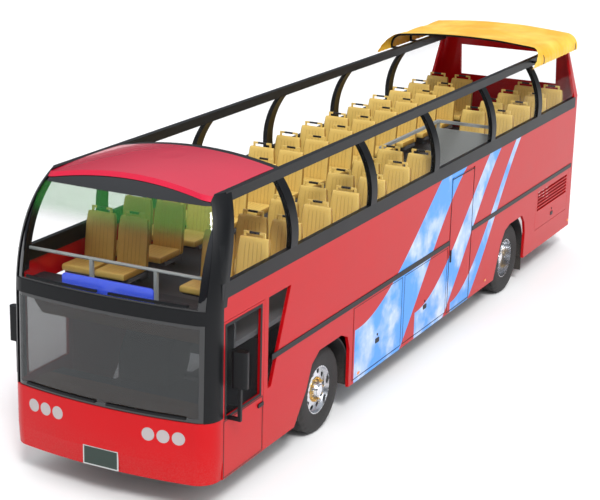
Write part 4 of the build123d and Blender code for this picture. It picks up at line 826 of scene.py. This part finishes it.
def arc_points(first, middle, last, count):
    """Points on the circle through three points, the last one left out."""
    (ax, ay), (bx, by), (cx, cy) = first, middle, last
    turn = 2 * (ax * (by - cy) + bx * (cy - ay) + cx * (ay - by))
    a, b, c = ax * ax + ay * ay, bx * bx + by * by, cx * cx + cy * cy
    ox = (a * (by - cy) + b * (cy - ay) + c * (ay - by)) / turn
    oy = (a * (cx - bx) + b * (ax - cx) + c * (bx - ax)) / turn
    start = math.atan2(ay - oy, ax - ox)
    sweep = (math.atan2(cy - oy, cx - ox) - start + math.pi) % math.tau - math.pi
    radius = math.hypot(ax - ox, ay - oy)
    for index in range(count):
        angle = start + sweep * index / count
        yield ox + radius * math.cos(angle), oy + radius * math.sin(angle)


# The canopy's outer face on the left: distance from the middle, height
CANOPY_LOW, CANOPY_BULGE, CANOPY_SHOULDER = (1.262, 3.300), (1.230, 3.468), (1.110, 3.555)
CANOPY_CROWN = 3.618


def canopy_section(inset):
    """The cloth's section from the left edge to the right."""
    side_steps, top_steps = 16, 60
    low = (CANOPY_LOW[0] - inset, CANOPY_LOW[1])
    bulge = (CANOPY_BULGE[0] - inset, CANOPY_BULGE[1] - inset * 0.3)
    shoulder = (CANOPY_SHOULDER[0] - inset, CANOPY_SHOULDER[1] - inset)
    crown = (0.0, CANOPY_CROWN - inset)
    right_low, right_bulge, right_shoulder = ((-y, z) for y, z in (low, bulge, shoulder))
    points = list(arc_points(low, bulge, shoulder, side_steps))
    points += list(arc_points(shoulder, crown, right_shoulder, top_steps))
    points += list(arc_points(right_shoulder, right_bulge, right_low, side_steps))
    return points + [right_low]


def run_length(line):
    """The length along a line of vertices."""
    return sum((a.co - b.co).length for a, b in zip(line, line[1:]))


class BUS_OT_canopy(bpy.types.Operator):
    """The canopy: one cloth over its hoops, with pleated sides and slack bays"""

    bl_idname = "bus.canopy"
    bl_label = "Canopy"

    def execute(self, context):
        sizes = context.scene.bus_sizes
        section = canopy_section(sizes.canopy_inset)
        bm = bmesh.new()
        rows, runs, hem = [], 120, 0.04
        slack, wide_fold, fine_fold = 0.016, 0.010, 0.004
        pleat_depth, pleat_turns = 0.0075, 46.0
        shoulder_z, low_z = CANOPY_SHOULDER[1], CANOPY_LOW[1]
        for y, z in section:
            drop = max(0.0, min(1.0, (shoulder_z - z) / (shoulder_z - low_z)))
            front = sizes.canopy_front + (sizes.canopy_tip - sizes.canopy_front) * drop
            row = []
            for index in range(runs + 1):
                share = index / runs
                x = sizes.canopy_back + (front - sizes.canopy_back) * share
                within = min(max((share - hem) / (1 - 2 * hem), 0.0), 1.0)
                bay = math.sin(math.tau * within) ** 2
                folds = noise.noise(Vector((x * 3.0, y * 1.3, 0.4))) * wide_fold
                folds += noise.noise(Vector((x * 9.0, y * 2.2, 2.4))) * fine_fold
                sag = (slack * bay + abs(folds)) * (1 - drop)
                pleat = math.sin(x * pleat_turns + 0.9 * math.sin(x * 7.0)) * pleat_depth * drop
                side = 1 if y > 0 else -1
                row.append(bm.verts.new((x, y - side * (pleat_depth * drop - pleat), z - sag)))
            rows.append(row)
        rings_to_faces(bm, rows, closed_ring=False)
        columns = list(zip(*rows))
        across = max(run_length(line) for line in (columns[0], columns[runs // 2]))
        along = max(run_length(line) for line in (rows[0], rows[len(rows) // 2]))
        area = min(sum(face.calc_area() for face in bm.faces), across * along)
        made = piece("canopy_sheet", bm, "canopy_cloth", "coach_body")
        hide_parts("canopy")
        return {"FINISHED"}


def add_frame(bm, outline, width, out_y, depth):
    """A flat band inside an outline of X and Z, proud of the left side."""
    middle = sum((Vector(point) for point in outline), Vector((0, 0))) / len(outline)
    inner = []
    for x, z in outline:
        towards = middle - Vector((x, z))
        inner.append((x + math.copysign(width, towards.x), z + math.copysign(width, towards.y)))
    loops = []
    for points, y in ((outline, out_y), (outline, out_y + depth), (inner, out_y + depth), (inner, out_y)):
        loops.append([bm.verts.new((x, y, z)) for x, z in points])
    rings_to_faces(bm, loops, closed_run=True)


def add_plate(bm, centre, half_x, half_z, out_y, depth, sign=1):
    """A small plate with cut corners, proud of a side."""
    cut = min(half_x, half_z) * 0.3
    x, z = centre
    outline = []
    for sx, sz in ((1, 1), (-1, 1), (-1, -1), (1, -1)):
        first, second = (half_x, half_z - cut), (half_x - cut, half_z)
        pair = (first, second) if sx * sz > 0 else (second, first)
        outline += [(x + sx * px, z + sz * pz) for px, pz in pair]
    low = [bm.verts.new((px, sign * out_y, pz)) for px, pz in outline]
    high = [bm.verts.new((px, sign * (out_y + depth), pz)) for px, pz in outline]
    rings_to_faces(bm, [low, high])
    bm.faces.new(low)
    bm.faces.new(high)


# How far the trim stands off the painted skin
SKIN_GAP = 0.0005

# Columns: body, X and Z of its latch
LATCHES = (
    ("luggage_flap_a", 1.772, 0.730),
    ("luggage_flap_b", 0.272, 0.730),
    ("engine_flap", -4.850, 0.800),
)

# Columns of a turned profile: radius, distance out
LOCK = ((0.016, 0), (0.016, 0.004), (0.011, 0.006))

# Columns: piece, body, X and Z of its centre, half its length, half its height
HANDLES = (
    ("mid_door_handle", "mid_door", -0.565, 1.20, 0.016, 0.085),
    ("driver_door_handle", "driver_door", 4.80, 0.94, 0.060, 0.022),
)

# Columns: piece, body, back and front edge, low and high edge, band's width, thickness
SEALS = (
    ("driver_window_seal", "driver_door", 4.785, 5.575, 1.040, 2.080, 0.034, 0.003),
    ("mid_door_seal", "mid_door", -1.318, -0.512, 0.400, 2.280, 0.014, 0.0025),
    ("driver_door_seal", "driver_door", 4.745, 5.590, 0.392, 1.030, 0.010, 0.002),
    ("seal_luggage_flap_a", "luggage_flap_a", 1.044, 2.476, 0.428, 1.344, 0.007, 0.0015),
    ("seal_luggage_flap_b", "luggage_flap_b", -0.456, 0.976, 0.428, 1.344, 0.007, 0.0015),
)

# Places of the side markers along the bus, and their height
MARKERS, MARKER_Z = (2.30, -1.97, -5.72), 0.474


class BUS_OT_body_trim(bpy.types.Operator):
    """Latches, handles, window seals and small side lamps"""

    bl_idname = "bus.body_trim"
    bl_label = "Body trim"

    def execute(self, context):
        sizes = context.scene.bus_sizes
        skin = sizes.side + SKIN_GAP
        latch_half_length, latch_half_height, lock_rise = 0.055, 0.030, 0.075
        for body, x, z in LATCHES:
            bm = bmesh.new()
            add_plate(bm, (x, z), latch_half_length, latch_half_height, skin, 0.005)
            add_turned(bm, Vector((x, skin, z + lock_rise)), 1, LOCK, 20)
            piece(f"latch_{body}", bm, "black_trim", body, smooth=False)
        for name, body, x, z, half_x, half_z in HANDLES:
            bm = bmesh.new()
            add_plate(bm, (x, z), half_x, half_z, skin, 0.012)
            piece(name, bm, "black_trim", body, smooth=False)
        for name, body, back, front, low, high, width, depth in SEALS:
            bm = bmesh.new()
            add_frame(bm, [(front, low), (front, high), (back, high), (back, low)], width, skin, depth)
            piece(name, bm, "rubber_black", body, smooth=False)
        bm = bmesh.new()
        for x in MARKERS:
            for sign in (1, -1):
                add_plate(bm, (x, MARKER_Z), 0.030, 0.016, skin, 0.006, sign=sign)
        piece("side_markers", bm, "amber", "coach_body", smooth=False)
        return {"FINISHED"}


class BUS_OT_finishes(bpy.types.Operator):
    """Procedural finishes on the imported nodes"""

    bl_idname = "bus.finishes"
    bl_label = "Finishes"

    def execute(self, context):
        make_looks(context.scene.bus_colours)
        for part in frame["record"]["subparts"]:
            node = frame["nodes"][part["node"]]
            look = OWN_LOOKS.get(part["node"], part["material_slot"])
            node.data.materials.clear()
            node.data.materials.append(LOOKS[look])
        return {"FINISHED"}


CAMERA_PLACE = Vector((19.0462, 8.8575, 7.5389))
CAMERA_AZIMUTH = 26.76066
CAMERA_ELEVATION = 16.76350
CAMERA_ROLL = 1.38471
CAMERA_LENS = 97.373
CAMERA_SHIFT = (0.00128, 0.00045)


def aim(made, towards):
    """Turns a lamp to shine along a direction."""
    made.rotation_euler = towards.to_track_quat("-Z", "Y").to_euler()


def add_floor():
    """A pale floor that reaches past the view."""
    reach, pale = 400.0, (0.97, 0.97, 0.97)
    made, graph, inputs = shader("stage_floor")
    wear = graph.group("Wear", Colour=pale, Roughness=0.9, Variation=0.01, Dust=0.0, Grain=3.0)
    graph.feed(inputs["Base Color"], wear["Colour"])
    graph.feed(inputs["Roughness"], wear["Roughness"])
    mesh = bpy.data.meshes.new("stage_floor")
    corners = [(-reach, -reach, 0), (reach, -reach, 0), (reach, reach, 0), (-reach, reach, 0)]
    mesh.from_pydata(corners, [], [(0, 1, 2, 3)])
    mesh.materials.append(made)
    add_object("stage_floor", mesh)


def add_world():
    """A white backdrop, an even sky for light, and a sky with a darker horizon for gloss."""
    low, high = (0.46, 0.47, 0.49), (0.92, 0.93, 0.95)
    gloss_low, gloss_high = (0.10, 0.11, 0.13), (0.80, 0.84, 0.90)
    world = bpy.data.worlds.new("studio")
    bpy.context.scene.world = world
    world.use_nodes = True
    graph = Graph(world.node_tree)
    path = graph.node("ShaderNodeLightPath").outputs
    way = graph.node("ShaderNodeTexCoord").outputs["Generated"]
    up = graph.node("ShaderNodeSeparateXYZ", {0: way}).outputs["Z"]
    even = graph.mix(graph.step(up, -0.1, 0.9), low, high)
    glossy = graph.mix(graph.step(up, 0.05, 0.8), gloss_low, gloss_high)
    sky = graph.mix(path["Is Glossy Ray"], even, glossy)
    background = world.node_tree.nodes["Background"].inputs
    graph.feed(background["Color"], graph.mix(path["Is Camera Ray"], sky, (1.0, 1.0, 1.0)))


def add_lamps():
    """A wide sun from the front left and a softbox beside it."""
    sun = bpy.data.lights.new("key", "SUN")
    sun.energy, sun.angle = 1.9, math.radians(14)
    aim(add_object("key", sun), Vector((-0.70, -0.55, -0.95)))
    place, target = Vector((9.0, 12.0, 11.0)), Vector((1.0, 0.0, 1.5))
    box = bpy.data.lights.new("softbox", "AREA")
    box.shape, box.size, box.energy = "SQUARE", 9.0, 350.0
    made = add_object("softbox", box)
    made.location = place
    aim(made, target - place)


def add_camera():
    """The camera at the photograph's angle."""
    turn, tip = math.radians(CAMERA_AZIMUTH), math.radians(CAMERA_ELEVATION)
    roll = math.radians(CAMERA_ROLL)
    ahead = Vector((-math.cos(turn) * math.cos(tip), -math.sin(turn) * math.cos(tip), -math.sin(tip)))
    right = ahead.cross(Vector((0, 0, 1))).normalized()
    above = right.cross(ahead)
    level_right = right * math.cos(roll) + above * math.sin(roll)
    level_up = above * math.cos(roll) - right * math.sin(roll)
    data = bpy.data.cameras.new("camera")
    data.sensor_width, data.lens = 36.0, CAMERA_LENS
    data.shift_x, data.shift_y = CAMERA_SHIFT
    data.clip_end = 1000.0
    camera = add_object("camera", data)
    rotation = Matrix((level_right, level_up, -ahead)).transposed()
    camera.matrix_world = Matrix.Translation(CAMERA_PLACE) @ rotation.to_4x4()
    bpy.context.scene.camera = camera


class BUS_OT_stage(bpy.types.Operator):
    """Pale floor, soft light and the camera at the photograph's angle"""

    bl_idname = "bus.stage"
    bl_label = "Stage"

    def execute(self, context):
        context.scene.view_settings.view_transform = "Standard"
        add_floor()
        add_world()
        add_lamps()
        add_camera()
        return {"FINISHED"}


STEPS = ("finishes", "tyres", "wheel_trim", "seats", "canopy", "body_trim", "stage")


class BUS_PT_looks(bpy.types.Panel):
    """Sizes, colours and the pieces' operators"""

    bl_label = "Bus"
    bl_idname = "BUS_PT_looks"
    bl_space_type = "VIEW_3D"
    bl_region_type = "UI"
    bl_category = "Bus"

    def draw(self, context):
        for group in (context.scene.bus_sizes, context.scene.bus_colours):
            for key in group.bl_rna.properties.keys():
                if key not in ("rna_type", "name"):
                    self.layout.prop(group, key)
        for step in STEPS:
            self.layout.operator(f"bus.{step}")


CLASSES = (
    BusSizes,
    BusColours,
    BUS_OT_finishes,
    BUS_OT_tyres,
    BUS_OT_wheel_trim,
    BUS_OT_seats,
    BUS_OT_canopy,
    BUS_OT_body_trim,
    BUS_OT_stage,
    BUS_PT_looks,
)


def register():
    """Adds the classes and the scene's settings."""
    for item in CLASSES:
        bpy.utils.register_class(item)
    bpy.types.Scene.bus_sizes = PointerProperty(type=BusSizes)
    bpy.types.Scene.bus_colours = PointerProperty(type=BusColours)


def unregister():
    """Takes the settings and the classes away again."""
    del bpy.types.Scene.bus_colours
    del bpy.types.Scene.bus_sizes
    for item in reversed(CLASSES):
        bpy.utils.unregister_class(item)


def main():
    """Runs every step."""
    register()
    for step in STEPS:
        getattr(bpy.ops.bus, step)()


if __name__ == "__main__":
    main()
